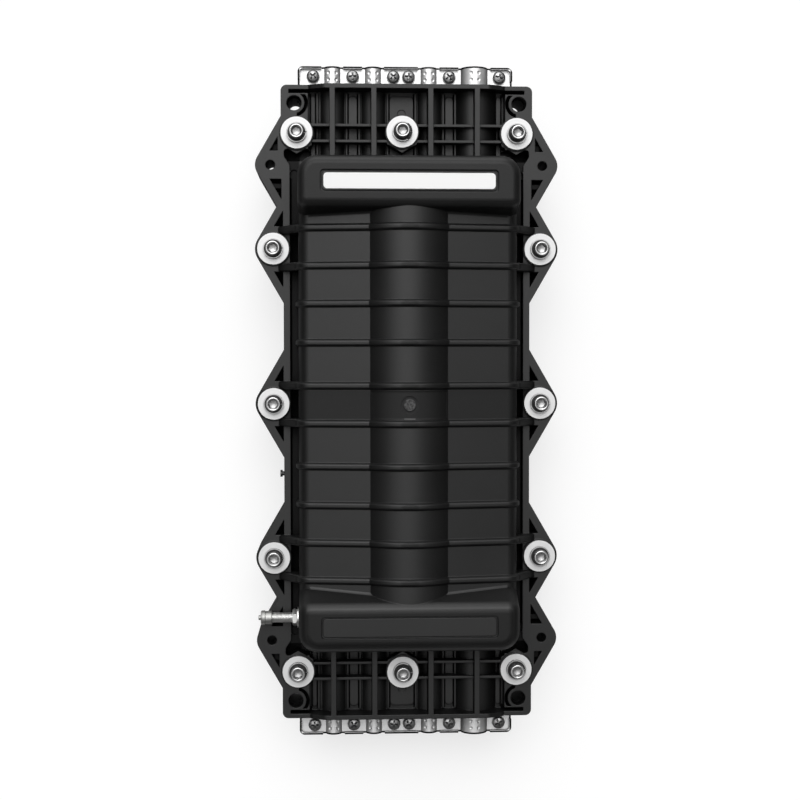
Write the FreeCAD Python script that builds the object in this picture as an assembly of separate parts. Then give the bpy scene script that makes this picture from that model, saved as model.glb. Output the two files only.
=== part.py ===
"""Inline splice closure: two ribbed half shells bolted together over cable clamps, splice trays and a test valve.

X runs across the closure, Y along it and Z up from the faces it rests on. Each half shell is drawn above the
parting plane; the base is then turned over and both are lifted so that the closure rests on z = 0.
"""
import FreeCAD
import Part
import math
import os
from FreeCAD import Vector

# Half shell
HALF_HEIGHT = 56.0
WALL = 3.2
FLANGE_DEPTH = 19.0
FLANGE_FLOOR = 5.0
FLANGE_HALF_WIDTH = 82.6
END_HALF_WIDTH = 84.2
END_HALF_LENGTH = 212.5
END_CORNER_RADIUS = 4.0
RIM_WIDTH = 4.3
TROUGH_WIDTH = 5.8
TROUGH_FLOOR = 15.4
TROUGH_SLOT = 1.0
TROUGH_END_INSET = 56.1
PIT_OUT_X = 82.1
PIT_SHELF_Z = 16.6
PIT_SHELF_INSET = 47.5
POCKET_FLOOR = 1.6
LUG_EDGE_ANGLE = math.radians(30.0)

# Body between the end boxes
SHOULDER_OUTER_Z = 38.0
SHOULDER_INNER_Z = 45.0
SHOULDER_RADIUS = 8.0
HUMP_HALF_WIDTH = 25.4
HUMP_Z = 54.0

# End boxes
BOX_INSET = 51.0
REAR_BOX_TOP_LENGTH = 32.5
REAR_BOX_SLOPE = math.radians(74.0)
REAR_BOX_EDGE_RADIUS = 6.0
FRONT_BOX_TOP_LENGTH = 30.7
FRONT_BOX_SLOPE = math.radians(60.0)
FRONT_BOX_EDGE_RADIUS = 8.0
BOX_CORNER_RADIUS = 13.0
BOX_FOOT_RADIUS = 2.6
BOX_FOOT_SINK = 0.08
RECESS_LENGTH = 115.0
RECESS_WIDTH = 14.2
RECESS_DEPTH = 0.7
RECESS_INSET = 17.0
RECESS_MOAT_WIDTH = 1.0
RECESS_MOAT_DEPTH = 1.0
LABEL_MARGIN = 2.0
LABEL_THICKNESS = 0.3

# Ribs over the body
RIB_WIDTH = 5.4
RIB_HEIGHT = 1.9
RIB_EDGE_RADIUS = 1.9
RIB_PROFILE = (
    (-1.0, -0.1),
    (-0.6, 0.75),
    (-0.46, 0.93),
    (-0.28, 1.0),
    (0.28, 1.0),
    (0.46, 0.93),
    (0.6, 0.75),
    (1.0, -0.1),
)
SINGLE_RIB_OFFSETS = (37.2, 62.8)
PAIR_RIB_OFFSET = 12.4
GUSSET_OUT_X = 86.0
GUSSET_DROP = 3.5
GUSSET_BEND_RADIUS = 6.0

# Bolts and holes
BOLT_D = 6.0
BOLT_CLEARANCE = 0.3
SIDE_BOLT_X = 89.4
SIDE_BOLT_INSET = 109.1
ROW_BOLT_X = 73.6
ROW_BOLT_MID_X = -3.2
ROW_BOLT_INSET = 31.1
ROW_CORNER_INSET = 32.1
LUG_RADIUS = 12.2
BOSS_RADIUS = 11.4
BOSS_RISE = 1.0
BOSS_PEAK = 2.2
WASHER_D = 21.1
WASHER_THICKNESS = 2.0
SPRING_WASHER_D = 13.4
SPRING_WASHER_THICKNESS = 2.0
SPRING_WASHER_SLIT = 0.8
HEAD_D = 10.0
HEAD_HEIGHT = 6.0
HEAD_SOCKET_AF = 5.0
HEAD_SOCKET_DEPTH = 3.4
BOLT_LENGTH = 36.0
INSERT_D = 9.0
INSERT_LENGTH = 14.0
INSERT_SINK = 0.6
RUN_CLEARANCE = 0.06
HANG_X = 91.2
HANG_INSET = 53.1
HANG_RADIUS = 10.2
HANG_HOLE_D = 6.4
HANG_POCKET_OFFSET = 9.4
WEB_DROP = 4.0
WEB_LENGTH = 7.0
CORNER_X = 75.3
CORNER_INSET = 11.9
CORNER_HOLE_D = 9.0
CORNER_SINK_D = 10.0
CORNER_SINK_Z = 10.0
CORNER_BOSS_RADIUS = 7.0
CORNER_GROOVE = 2.2

# Cable ports, left to right
PORT_X = (-49.8, -22.2, 15.7, 46.8)
PORT_BORE_R = (9.0, 9.0, 9.0, 13.5)
PORT_WALL = 3.0
PORT_FIELD_HALF_WIDTH = 66.0
PAD_Z = 9.0
PAD_BAR_RISE = 1.2
PAD_BAR_HALF_WIDTH = 2.6
PAD_RIM_RISE = 2.2
PAD_RIM_WIDTH = 1.3
PAD_RIM_GAP = 0.8
PAD_GROOVE_DEPTH = 3.0
PAD_MARK_R = 2.8
PAD_MARK_INSET = 17.5
PAD_MARK_DEPTH = 0.3
OUTER_PADS = ((-62.8, 1.4), (62.4, 1.5))
PORT_RIB_WIDTH = 3.6
END_WALL = 2.9
END_WALL_RISE = 6.0
CROSS_RIB_INSETS = (37.1, 26.5)
CROSS_RIB_WIDTH = 1.8

# Gasket strips
GASKET_WIDTH = 4.0
GASKET_DEPTH = 3.0
GASKET_X = 76.0
GASKET_END_X = 66.0
GASKET_END_INSET = 16.5
GASKET_BEND_INSET = 46.5
GASKET_SIDE_CLEARANCE = 0.15

# Cable clamps outside the ends
CLAMP_THICKNESS = 1.4
CLAMP_GAP = 1.2
CLAMP_BORE_R = (4.4, 4.4, 4.4, 8.0)
CLAMP_LEFT_X = -73.2
CLAMP_RIGHT_X = 72.6
CLAMP_REACH = 15.3
CLAMP_INSET = 14.5
CLAMP_STANDOFF = 1.0
CLAMP_LIP = 3.0
CLAMP_CORNER_RADIUS = 3.6
CLAMP_RELIEF = 1.6
CLAMP_SEAT_CLEARANCE = 0.4
DIMPLE_R = 1.7
DIMPLE_DEPTH = 0.55
DIMPLE_X = 2.6
DIMPLE_Y = 2.3
CLAMP_SCREW_X = (-62.8, -36.0, -8.4, 2.0, 29.6, 63.8)
CLAMP_SCREW_REACH = 8.8
CLAMP_SCREW_D = 4.0
CLAMP_HEAD_D = 8.8
CLAMP_HEAD_HEIGHT = 3.2
CLAMP_SCREW_LENGTH = 9.0
SEAT_SCREW_X = (-36.0, 4.0)
SEAT_SCREW_INSET = 9.0
SEAT_SCREW_D = 3.0
SEAT_SCREW_LENGTH = 9.0

# Trays inside
FRAME_TOP_Z = -28.0
FRAME_THICKNESS = 1.5
FRAME_HALF_WIDTH = 54.0
FRAME_MARGIN = 18.0
FRAME_POST_X = 44.0
FRAME_POST_Y = 104.0
POST_RADIUS = 5.0
FRAME_SCREW_D = 4.0
FRAME_SCREW_LENGTH = 7.5
FRAME_CORNER_RADIUS = 6.0
TRAY_HALF_WIDTH = 50.0
TRAY_HALF_LENGTH = 94.0
TRAY_DEPTH = 11.0
TRAY_WALL = 1.6
TRAY_CORNER_RADIUS = 16.0
TRAY_MOUTH = 14.0
TRAY_BEND = 18.0
HINGE_PIN_D = 3.0
HINGE_OUT = 4.5
HINGE_EAR_X = 32.0
HINGE_EAR_WIDTH = 6.0
HINGE_EAR_GAP = 0.4
LID_THICKNESS = 1.8
COMB_SLOTS = 6
COMB_PITCH = 4.2
COMB_Y = 14.0
COMB_HALF_LENGTH = 8.0

# Anchor bars for the cables' strength members
BAR_INSET = 67.5
BAR_WIDTH = 12.0
BAR_THICKNESS = 2.0
BAR_TOP_Z = -20.0
BAR_HALF_LENGTH = 62.0
BAR_POST_X = 35.0
YOKE_WIDTH = 11.0
YOKE_HEIGHT = 6.0
YOKE_SLOT_R = 1.6
ANCHOR_SCREW_D = 4.0
ANCHOR_HEAD_D = 7.0
ANCHOR_HEAD_HEIGHT = 2.4
ANCHOR_SCREW_LENGTH = 9.0

# Test valve in the cover's side
VALVE_INSET = 70.1
VALVE_Z = 27.5
VALVE_STEM_R = 3.5
VALVE_STEM_OUT = 23.4
VALVE_HOLE_CLEARANCE = 0.3
VALVE_HEAD_R = 4.9
VALVE_HEAD_LENGTH = 4.0
VALVE_SEAL_THICKNESS = 1.2
VALVE_SEAL_R = 5.0
VALVE_WASHER_R = 6.8
VALVE_WASHER_THICKNESS = 1.4
VALVE_NUT_AF = 10.0
VALVE_NUT_LENGTH = 3.2
VALVE_NUT_CHAMFER = 0.8
VALVE_BORE_R = 1.7
VALVE_PIN_R = 1.1
VALVE_PIN_LENGTH = 9.0
VALVE_PIN_PROUD = 0.4
VALVE_CAP_SKIRT_R = 4.4
VALVE_CAP_HEAD_R = 4.8
VALVE_CAP_SKIRT = 4.4
VALVE_CAP_HEAD = 3.0
VALVE_CAP_TIP_R = 1.6
VALVE_CAP_TIP = 1.6
VALVE_CAP_FIT = 0.1
VALVE_CAP_GAP = 1.2

# Small parts
SIDE_SCREW_OFFSET = 8.4
SIDE_SCREW_Z = -8.0
SIDE_SCREW_NECK_R = 1.5
SIDE_SCREW_HEAD_R = 2.4
SIDE_SCREW_HEAD = 1.5
SIDE_SCREW_PROUD = 2.2
SIDE_SCREW_LENGTH = 7.0
GATE_R = 3.9
GATE_RISE = 0.7
GATE_DISH_R = 5.6
GATE_DISH_DEPTH = 0.9
BAY_DEPTH = 0.4
BAY_MARGIN = 1.0

# Places along Y that go with the closure's ends
TROUGH_END_Y = END_HALF_LENGTH - TROUGH_END_INSET
PIT_SHELF_Y = END_HALF_LENGTH - PIT_SHELF_INSET
BOX_OUT_Y = END_HALF_LENGTH - BOX_INSET
REAR_BOX_TOP_Y = BOX_OUT_Y - REAR_BOX_TOP_LENGTH
FRONT_BOX_TOP_Y = BOX_OUT_Y - FRONT_BOX_TOP_LENGTH
RECESS_Y = BOX_OUT_Y - RECESS_INSET
ROW_BOLT_Y = END_HALF_LENGTH - ROW_BOLT_INSET
ROW_CORNER_Y = END_HALF_LENGTH - ROW_CORNER_INSET
SIDE_BOLT_Y = END_HALF_LENGTH - SIDE_BOLT_INSET
SINGLE_RIB_Y = tuple(SIDE_BOLT_Y - offset for offset in SINGLE_RIB_OFFSETS)
SIDE_SCREW_Y = -SINGLE_RIB_Y[1] - SIDE_SCREW_OFFSET
HANG_Y = END_HALF_LENGTH - HANG_INSET
CORNER_Y = END_HALF_LENGTH - CORNER_INSET
PAD_MARK_Y = END_HALF_LENGTH - PAD_MARK_INSET
CROSS_RIB_Y = tuple(END_HALF_LENGTH - inset for inset in CROSS_RIB_INSETS)
GASKET_END_Y = END_HALF_LENGTH - GASKET_END_INSET
GASKET_BEND_Y = END_HALF_LENGTH - GASKET_BEND_INSET
CLAMP_OUT_Y = END_HALF_LENGTH + CLAMP_REACH
CLAMP_IN_Y = END_HALF_LENGTH - CLAMP_INSET
CLAMP_SCREW_Y = END_HALF_LENGTH + CLAMP_SCREW_REACH
SEAT_SCREW_Y = END_HALF_LENGTH - SEAT_SCREW_INSET
BAR_Y = END_HALF_LENGTH - BAR_INSET
VALVE_Y = VALVE_INSET - END_HALF_LENGTH

# Sizes that follow from the others
TROUGH_OUT_X = FLANGE_HALF_WIDTH - RIM_WIDTH
POCKET_RIM_X = FLANGE_HALF_WIDTH + 0.3
BODY_HALF_WIDTH = TROUGH_OUT_X - TROUGH_WIDTH
BODY_END_Y = max(REAR_BOX_TOP_Y + REAR_BOX_EDGE_RADIUS, FRONT_BOX_TOP_Y + FRONT_BOX_EDGE_RADIUS)
FRAME_HALF_LENGTH = TRAY_HALF_LENGTH + FRAME_MARGIN
HINGE_Y = -TRAY_HALF_LENGTH - HINGE_OUT
BOLT_HOLE_R = BOLT_D / 2 + BOLT_CLEARANCE
BOSS_Z = FLANGE_DEPTH + BOSS_RISE
END_WALL_Z = FLANGE_DEPTH + END_WALL_RISE
PORT_OUTER_R = tuple(r + PORT_WALL for r in PORT_BORE_R)
SIDE_BOLTS = [(sx * SIDE_BOLT_X, row * SIDE_BOLT_Y) for sx in (-1, 1) for row in (-1, 0, 1)]
ROW_PLACES = ((-ROW_BOLT_X, ROW_CORNER_Y), (ROW_BOLT_MID_X, ROW_BOLT_Y), (ROW_BOLT_X, ROW_CORNER_Y))
ROW_BOLTS = [(x, sy * y) for sy in (-1, 1) for x, y in ROW_PLACES]
BOLTS = SIDE_BOLTS + ROW_BOLTS
HANG_HOLES = [(sx * HANG_X, sy * HANG_Y) for sx in (-1, 1) for sy in (-1, 1)]
CORNER_HOLES = [(sx * CORNER_X, sy * CORNER_Y) for sx in (-1, 1) for sy in (-1, 1)]
VALVE_WALL_X = -BODY_HALF_WIDTH
UP = Vector(0, 0, 1)
ALONG = Vector(0, 1, 0)
ACROSS = Vector(1, 0, 0)
ORIGIN = Vector(0, 0, 0)


def rounded_corner(before, corner, after, radius):
    """Start, middle and end of the arc that rounds one corner of a flat outline."""
    to_before = Vector(before[0] - corner[0], before[1] - corner[1], 0).normalize()
    to_after = Vector(after[0] - corner[0], after[1] - corner[1], 0).normalize()
    half = to_before.getAngle(to_after) / 2
    reach = radius / math.tan(half)
    bisector = (to_before + to_after).normalize()
    depth = radius / math.sin(half) - radius
    start = (corner[0] + to_before.x * reach, corner[1] + to_before.y * reach)
    middle = (corner[0] + bisector.x * depth, corner[1] + bisector.y * depth)
    end = (corner[0] + to_after.x * reach, corner[1] + to_after.y * reach)
    return start, middle, end


def outline_face(corners, place):
    """Flat face of a closed outline. Each corner is (u, v) or (u, v, radius); place maps (u, v) into space."""
    edges = []
    runs = []
    count = len(corners)
    for i, corner in enumerate(corners):
        radius = corner[2] if len(corner) > 2 else 0.0
        if radius > 0:
            runs.append(rounded_corner(corners[i - 1], corner, corners[(i + 1) % count], radius))
        else:
            runs.append((corner, None, corner))
    for i, (start, middle, end) in enumerate(runs):
        if middle is not None:
            edges.append(Part.Arc(place(*start[:2]), place(*middle), place(*end[:2])).toShape())
        following = runs[(i + 1) % count][0]
        first, second = place(*end[:2]), place(*following[:2])
        if first.distanceToPoint(second) > 1e-6:
            edges.append(Part.makeLine(first, second))
    return Part.Face(Part.Wire(edges))


def plate(corners, z0, z1):
    """Prism of an outline in plan between two heights."""
    face = outline_face(corners, lambda u, v: Vector(u, v, z0))
    return face.extrude(UP * (z1 - z0))


def lengthwise(corners, y0, y1):
    """Prism of a cross-section (x, z) between two places along the closure."""
    face = outline_face(corners, lambda u, v: Vector(u, y0, v))
    return face.extrude(ALONG * (y1 - y0))


def crosswise(corners, x0, x1):
    """Prism of a side section (y, z) between two places across the closure."""
    face = outline_face(corners, lambda u, v: Vector(x0, u, v))
    return face.extrude(ACROSS * (x1 - x0))


def block(x0, x1, y0, y1, z0, z1):
    """Box between two corners."""
    return Part.makeBox(x1 - x0, y1 - y0, z1 - z0, Vector(x0, y0, z0))


def post(x, y, radius, z0, z1):
    """Upright cylinder."""
    return Part.makeCylinder(radius, z1 - z0, Vector(x, y, z0), UP)


def tube(x, y, outer, inner, z0, z1):
    """Upright ring."""
    return post(x, y, outer, z0, z1).cut(post(x, y, inner, z0, z1))


def hexagon(across_flats, place):
    """Hexagonal face."""
    radius = across_flats / math.sqrt(3)
    corners = []
    for k in range(6):
        angle = math.radians(60 * k)
        corners.append((radius * math.cos(angle), radius * math.sin(angle)))
    return outline_face(corners, place)


def joined(shapes):
    """One solid from overlapping shapes, without seams."""
    return shapes[0].multiFuse(shapes[1:]).removeSplitter()


def mirrored_y(shape):
    """The shape and its image at the other end."""
    return [shape, shape.mirror(ORIGIN, ALONG)]


def mirrored_xy(shape):
    """The shape and its images in all four quarters."""
    pair = [shape, shape.mirror(ORIGIN, ACROSS)]
    return [image for item in pair for image in mirrored_y(item)]


def lifted(shape):
    """The shape moved from the parting plane to its height above the ground."""
    return shape.translated(UP * HALF_HEIGHT)


def lug(x, y, radius, root_x):
    """Plan of a lug: a round tip with two straight edges that slope back to the flange."""
    slope = math.tan(LUG_EDGE_ANGLE)
    side = 1 if x > 0 else -1
    tip_x = abs(x) + radius / math.cos(LUG_EDGE_ANGLE)
    reach = (tip_x - root_x) / slope
    corners = [(side * root_x, y - reach), (side * tip_x, y, radius), (side * root_x, y + reach)]
    return plate(corners, 0, FLANGE_DEPTH)


def flange_block():
    """Flange of a half shell with lugs, before the body is added: troughs and core pockets are cut from its top."""
    middle = block(-FLANGE_HALF_WIDTH, FLANGE_HALF_WIDTH, -BOX_OUT_Y, BOX_OUT_Y, 0, FLANGE_DEPTH)
    inner_y = HANG_Y
    end = plate(
        [
            (-END_HALF_WIDTH, inner_y),
            (END_HALF_WIDTH, inner_y),
            (END_HALF_WIDTH, END_HALF_LENGTH, END_CORNER_RADIUS),
            (-END_HALF_WIDTH, END_HALF_LENGTH, END_CORNER_RADIUS),
        ],
        0,
        FLANGE_DEPTH,
    )
    root_x = BODY_HALF_WIDTH
    lugs = [lug(x, y, LUG_RADIUS, root_x) for x, y in SIDE_BOLTS]
    lugs += [lug(x, y, HANG_RADIUS, root_x) for x, y in HANG_HOLES]
    solid = joined([middle] + mirrored_y(end) + lugs)
    cuts = []
    for cut in trough_cuts():
        cuts += [cut, cut.mirror(ORIGIN, ACROSS)]
    for pocket in core_pockets():
        cuts += mirrored_xy(pocket)
    webs = []
    for web in pocket_webs():
        webs += mirrored_xy(web)
    return solid.cut(cuts).fuse(webs)


def trough_cuts():
    """Trough beside the body on the right: a slot along the rim, a floor, and wells between the paired ribs."""
    top = FLANGE_DEPTH + 1
    rounding = TROUGH_WIDTH / 2 - 0.01
    floor = plate(
        [
            (BODY_HALF_WIDTH, -TROUGH_END_Y, rounding),
            (TROUGH_OUT_X, -TROUGH_END_Y, rounding),
            (TROUGH_OUT_X, TROUGH_END_Y, rounding),
            (BODY_HALF_WIDTH, TROUGH_END_Y, rounding),
        ],
        TROUGH_FLOOR,
        top,
    )
    slot_end = TROUGH_END_Y - TROUGH_WIDTH
    cuts = [floor, block(TROUGH_OUT_X - TROUGH_SLOT, TROUGH_OUT_X, -slot_end, slot_end, FLANGE_FLOOR, top)]
    reach = PAIR_RIB_OFFSET
    for row in (-1, 0, 1):
        middle = row * SIDE_BOLT_Y
        cuts.append(block(BODY_HALF_WIDTH, TROUGH_OUT_X, middle - reach, middle + reach, FLANGE_FLOOR, top))
    return cuts


def core_pocket(x, y, width, way):
    """Three-cornered core pocket whose long side follows the edge of a lug."""
    reach = width / math.tan(LUG_EDGE_ANGLE)
    corners = [(x, y), (x + width, y), (x, y + way * reach)]
    return plate(corners, POCKET_FLOOR, FLANGE_DEPTH + 1)


def core_pockets():
    """Core pockets of the lugs in one quarter, with those of the middle lug."""
    edge_wall = 5.9
    rim = POCKET_RIM_X
    past_boss = BOSS_RADIUS + 3.7
    tip_x = SIDE_BOLT_X + LUG_RADIUS / math.cos(LUG_EDGE_ANGLE)
    width = tip_x - past_boss * math.tan(LUG_EDGE_ANGLE) - edge_wall - rim
    pockets = [core_pocket(rim, y + way * past_boss, width, way) for y in (SIDE_BOLT_Y,) for way in (-1, 1)]
    pockets.append(core_pocket(rim, past_boss, width, 1))
    hang_tip_x = HANG_X + HANG_RADIUS / math.cos(LUG_EDGE_ANGLE)
    hang_width = hang_tip_x - HANG_POCKET_OFFSET * math.tan(LUG_EDGE_ANGLE) - edge_wall
    pockets.append(core_pocket(rim + 1.0, HANG_Y - HANG_POCKET_OFFSET, hang_width - rim - 1.0, -1))
    pockets.append(core_pocket(rim + 3.4, HANG_Y + HANG_POCKET_OFFSET, hang_width - rim - 3.4, 1))
    return pockets


def pocket_webs():
    """Cross web in the inner pocket of a hanging lug and the raised floor of its outer one."""
    inner_y = HANG_Y - HANG_POCKET_OFFSET
    outer_y = HANG_Y + HANG_POCKET_OFFSET
    web_z = FLANGE_DEPTH - WEB_DROP
    web = block(POCKET_RIM_X, POCKET_RIM_X + WEB_LENGTH, inner_y - 5.8, inner_y - 2.6, 0, web_z)
    step = block(POCKET_RIM_X + 2.4, POCKET_RIM_X + WEB_LENGTH, outer_y - 1.0, outer_y + 4.8, 0, web_z)
    return [web, step]


def body_wire(outset, y):
    """Cross-section of the body: upright sides, rounded shoulders and a round hump along the middle."""
    rise = HUMP_Z - SHOULDER_INNER_Z
    hump_r = (HUMP_HALF_WIDTH**2 + rise**2) / (2 * rise)
    centre_z = HUMP_Z - hump_r
    slope = (SHOULDER_INNER_Z - SHOULDER_OUTER_Z) / (BODY_HALF_WIDTH - HUMP_HALF_WIDTH)
    lift = outset * math.sqrt(1 + slope**2)
    wall_x = BODY_HALF_WIDTH + outset
    at_axis = SHOULDER_OUTER_Z + slope * BODY_HALF_WIDTH + lift - centre_z
    a = 1 + slope**2
    b = -2 * slope * at_axis
    c = at_axis**2 - (hump_r + outset) ** 2
    foot_x = (-b + math.sqrt(b * b - 4 * a * c)) / (2 * a)
    foot_z = at_axis - slope * foot_x + centre_z
    corner_z = at_axis - slope * wall_x + centre_z
    start, middle, end = rounded_corner(
        (wall_x, 0), (wall_x, corner_z), (foot_x, foot_z), max(SHOULDER_RADIUS + outset, 1.0)
    )
    right = [(wall_x, 0), start, middle, end, (foot_x, foot_z)]
    p = [Vector(x, y, z) for x, z in right]
    q = [Vector(-x, y, z) for x, z in right]
    top = Vector(0, y, centre_z + hump_r + outset)
    return Part.Wire(
        [
            Part.makeLine(q[0], p[0]),
            Part.makeLine(p[0], p[1]),
            Part.Arc(p[1], p[2], p[3]).toShape(),
            Part.makeLine(p[3], p[4]),
            Part.Arc(p[4], top, q[4]).toShape(),
            Part.makeLine(q[4], q[3]),
            Part.Arc(q[3], q[2], q[1]).toShape(),
            Part.makeLine(q[1], q[0]),
        ]
    )


def shoulder_z(x):
    """Height of the outside of the shoulder at a place across the body."""
    slope = (SHOULDER_INNER_Z - SHOULDER_OUTER_Z) / (BODY_HALF_WIDTH - HUMP_HALF_WIDTH)
    return SHOULDER_OUTER_Z + slope * (BODY_HALF_WIDTH - x)


def body(outset):
    """Body between the end boxes, grown or shrunk by an outset."""
    return Part.Face(body_wire(outset, -BODY_END_Y)).extrude(ALONG * (2 * BODY_END_Y))


def body_rib(y):
    """Rounded bead that runs over the body from side to side."""
    half = RIB_WIDTH / 2
    sections = [body_wire(rise * RIB_HEIGHT, y + at * half) for at, rise in RIB_PROFILE]
    return Part.makeLoft(sections, True, True)


def box_foot(top_in, slope):
    """Hollow fillets where the inner slope of an end box meets the shoulders, drawn at the rear end."""
    lean = 1 / math.tan(slope)
    inner_x = HUMP_HALF_WIDTH - 1.0
    outer_x = BODY_HALF_WIDTH - SHOULDER_RADIUS + 1.0
    base = Vector(inner_x, top_in - (HALF_HEIGHT - shoulder_z(inner_x)) * lean, shoulder_z(inner_x))
    reach = BOX_FOOT_RADIUS * math.tan(slope / 2)
    middle_y = BOX_FOOT_RADIUS * math.sin(slope / 2) - reach
    end_y = BOX_FOOT_RADIUS * math.sin(slope) - reach + BOX_FOOT_SINK
    start = base + Vector(0, -reach, -BOX_FOOT_SINK)
    middle = base + Vector(0, middle_y, BOX_FOOT_RADIUS * (1 - math.cos(slope / 2)))
    end = base + Vector(0, end_y, BOX_FOOT_RADIUS * (1 - math.cos(slope)))
    buried = [end, base + Vector(0, 2, -2), base + Vector(0, -reach, -2), start]
    wire = Part.Wire([Part.Arc(start, middle, end).toShape()] + Part.makePolygon(buried).Edges)
    drop = shoulder_z(inner_x) - shoulder_z(outer_x)
    foot = Part.Face(wire).extrude(Vector(outer_x - inner_x, -drop * lean, -drop))
    return [foot, foot.mirror(ORIGIN, ACROSS)]


def gusset(y):
    """Foot of a paired rib: it slopes from the shoulder over the trough to the lug."""
    half = RIB_WIDTH / 2
    inner_x = BODY_HALF_WIDTH - SHOULDER_RADIUS
    corners = [
        (inner_x, FLANGE_FLOOR),
        (GUSSET_OUT_X, FLANGE_FLOOR),
        (GUSSET_OUT_X, FLANGE_DEPTH + 0.8),
        (BODY_HALF_WIDTH + RIB_HEIGHT, SHOULDER_OUTER_Z - GUSSET_DROP, GUSSET_BEND_RADIUS),
        (inner_x, shoulder_z(inner_x) + RIB_HEIGHT / 2),
    ]
    solid = lengthwise(corners, y - half, y + half)
    return solid.makeFillet(RIB_EDGE_RADIUS, [edge for edge in solid.Edges if slopes(edge)])


def slopes(edge):
    """Whether an edge lies across the closure and neither level nor upright."""
    ends = edge.Vertexes
    return abs(ends[0].X - ends[1].X) > 1 and abs(ends[0].Z - ends[1].Z) > 1


def end_box(top_in_y, slope, edge_radius, inset):
    """Raised box at the end of the body, drawn at the rear end and shrunk by an inset for its hollow."""
    top = HALF_HEIGHT - inset
    out = BOX_OUT_Y - inset
    half = BODY_HALF_WIDTH - inset
    foot_z = SHOULDER_OUTER_Z - SHOULDER_RADIUS - 2.0 - inset
    top_in = top_in_y + inset * math.tan(slope / 2)
    foot = top_in - (top - foot_z) / math.tan(slope)
    solid = crosswise([(foot, 0), (out, 0), (out, top), (top_in, top), (foot, foot_z)], -half, half)
    upright = [e for e in solid.Edges if e.BoundBox.ZLength > top - 0.1 and e.BoundBox.YMin > out - 0.1]
    solid = solid.makeFillet(max(BOX_CORNER_RADIUS - inset, 1.0), upright)
    rounded = [e for e in solid.Edges if e.BoundBox.ZMax > top - 0.1 and e.BoundBox.ZMin > foot_z - 0.1]
    return solid.makeFillet(max(edge_radius - inset, 1.0), rounded)


def end_boxes(inset):
    """Boxes of both ends, the front one with a gentler inner slope."""
    rear = end_box(REAR_BOX_TOP_Y, REAR_BOX_SLOPE, REAR_BOX_EDGE_RADIUS, inset)
    front = end_box(FRONT_BOX_TOP_Y, FRONT_BOX_SLOPE, FRONT_BOX_EDGE_RADIUS, inset)
    return [rear, front.mirror(ORIGIN, ALONG)]


def end_field():
    """Cuts that open the end of the flange round the ports, at one end."""
    inner_y = BOX_OUT_Y - WALL
    outer_y = END_HALF_LENGTH - END_WALL
    top = FLANGE_DEPTH + 1
    field = block(-PORT_FIELD_HALF_WIDTH, PORT_FIELD_HALF_WIDTH, inner_y, outer_y, PAD_Z, top)
    slot = block(PORT_FIELD_HALF_WIDTH - 1, CORNER_X + 3.6, outer_y - 2.6, outer_y, FLANGE_FLOOR, top)
    pit = plate(
        [
            (PORT_FIELD_HALF_WIDTH - 4, BOX_OUT_Y + 0.6),
            (PIT_OUT_X, BOX_OUT_Y + 0.6),
            (PIT_OUT_X, ROW_CORNER_Y - BOSS_RADIUS + 1.0, 2.0),
            (PORT_FIELD_HALF_WIDTH - 4, ROW_CORNER_Y - BOSS_RADIUS + 1.0),
        ],
        FLANGE_FLOOR,
        top,
    )
    web = [
        (PORT_FIELD_HALF_WIDTH - 4, TROUGH_END_Y - 1.0),
        (TROUGH_OUT_X, TROUGH_END_Y - 1.0),
        (TROUGH_OUT_X, HANG_Y, 3.0),
        (PIT_OUT_X, PIT_SHELF_Y, 3.0),
        (PIT_OUT_X, ROW_CORNER_Y),
        (PORT_FIELD_HALF_WIDTH - 4, ROW_CORNER_Y),
    ]
    pit = pit.common(plate(web, 0, top))
    shelf = plate(web, PIT_SHELF_Z, top).cut(block(0, PIT_OUT_X, BOX_OUT_Y + 1.6, ROW_CORNER_Y, 0, top))
    groove = tube(
        CORNER_X, CORNER_Y, CORNER_BOSS_RADIUS + CORNER_GROOVE, CORNER_BOSS_RADIUS, FLANGE_FLOOR + 3, top
    ).common(block(0, CORNER_X - 2, CORNER_Y - 9, outer_y - 3.4, 0, top))
    cuts = [field]
    for x, half in pads() + list(OUTER_PADS):
        for near in (x - half - PAD_RIM_GAP, x + half):
            cuts.append(block(near, near + PAD_RIM_GAP, inner_y, outer_y - 1.0, PAD_Z - PAD_GROOVE_DEPTH, PAD_Z + 1))
    for item in (slot, pit, shelf, groove):
        cuts += [item, item.mirror(ORIGIN, ACROSS)]
    return cuts


def pads():
    """Centre and half width of the floor bars between the ports."""
    bars = []
    for left in range(len(PORT_X) - 1):
        lo = PORT_X[left] + PORT_OUTER_R[left]
        hi = PORT_X[left + 1] - PORT_OUTER_R[left + 1]
        bars.append(((lo + hi) / 2, max(PAD_BAR_HALF_WIDTH, (hi - lo) / 2 + 1.0)))
    return bars


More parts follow.
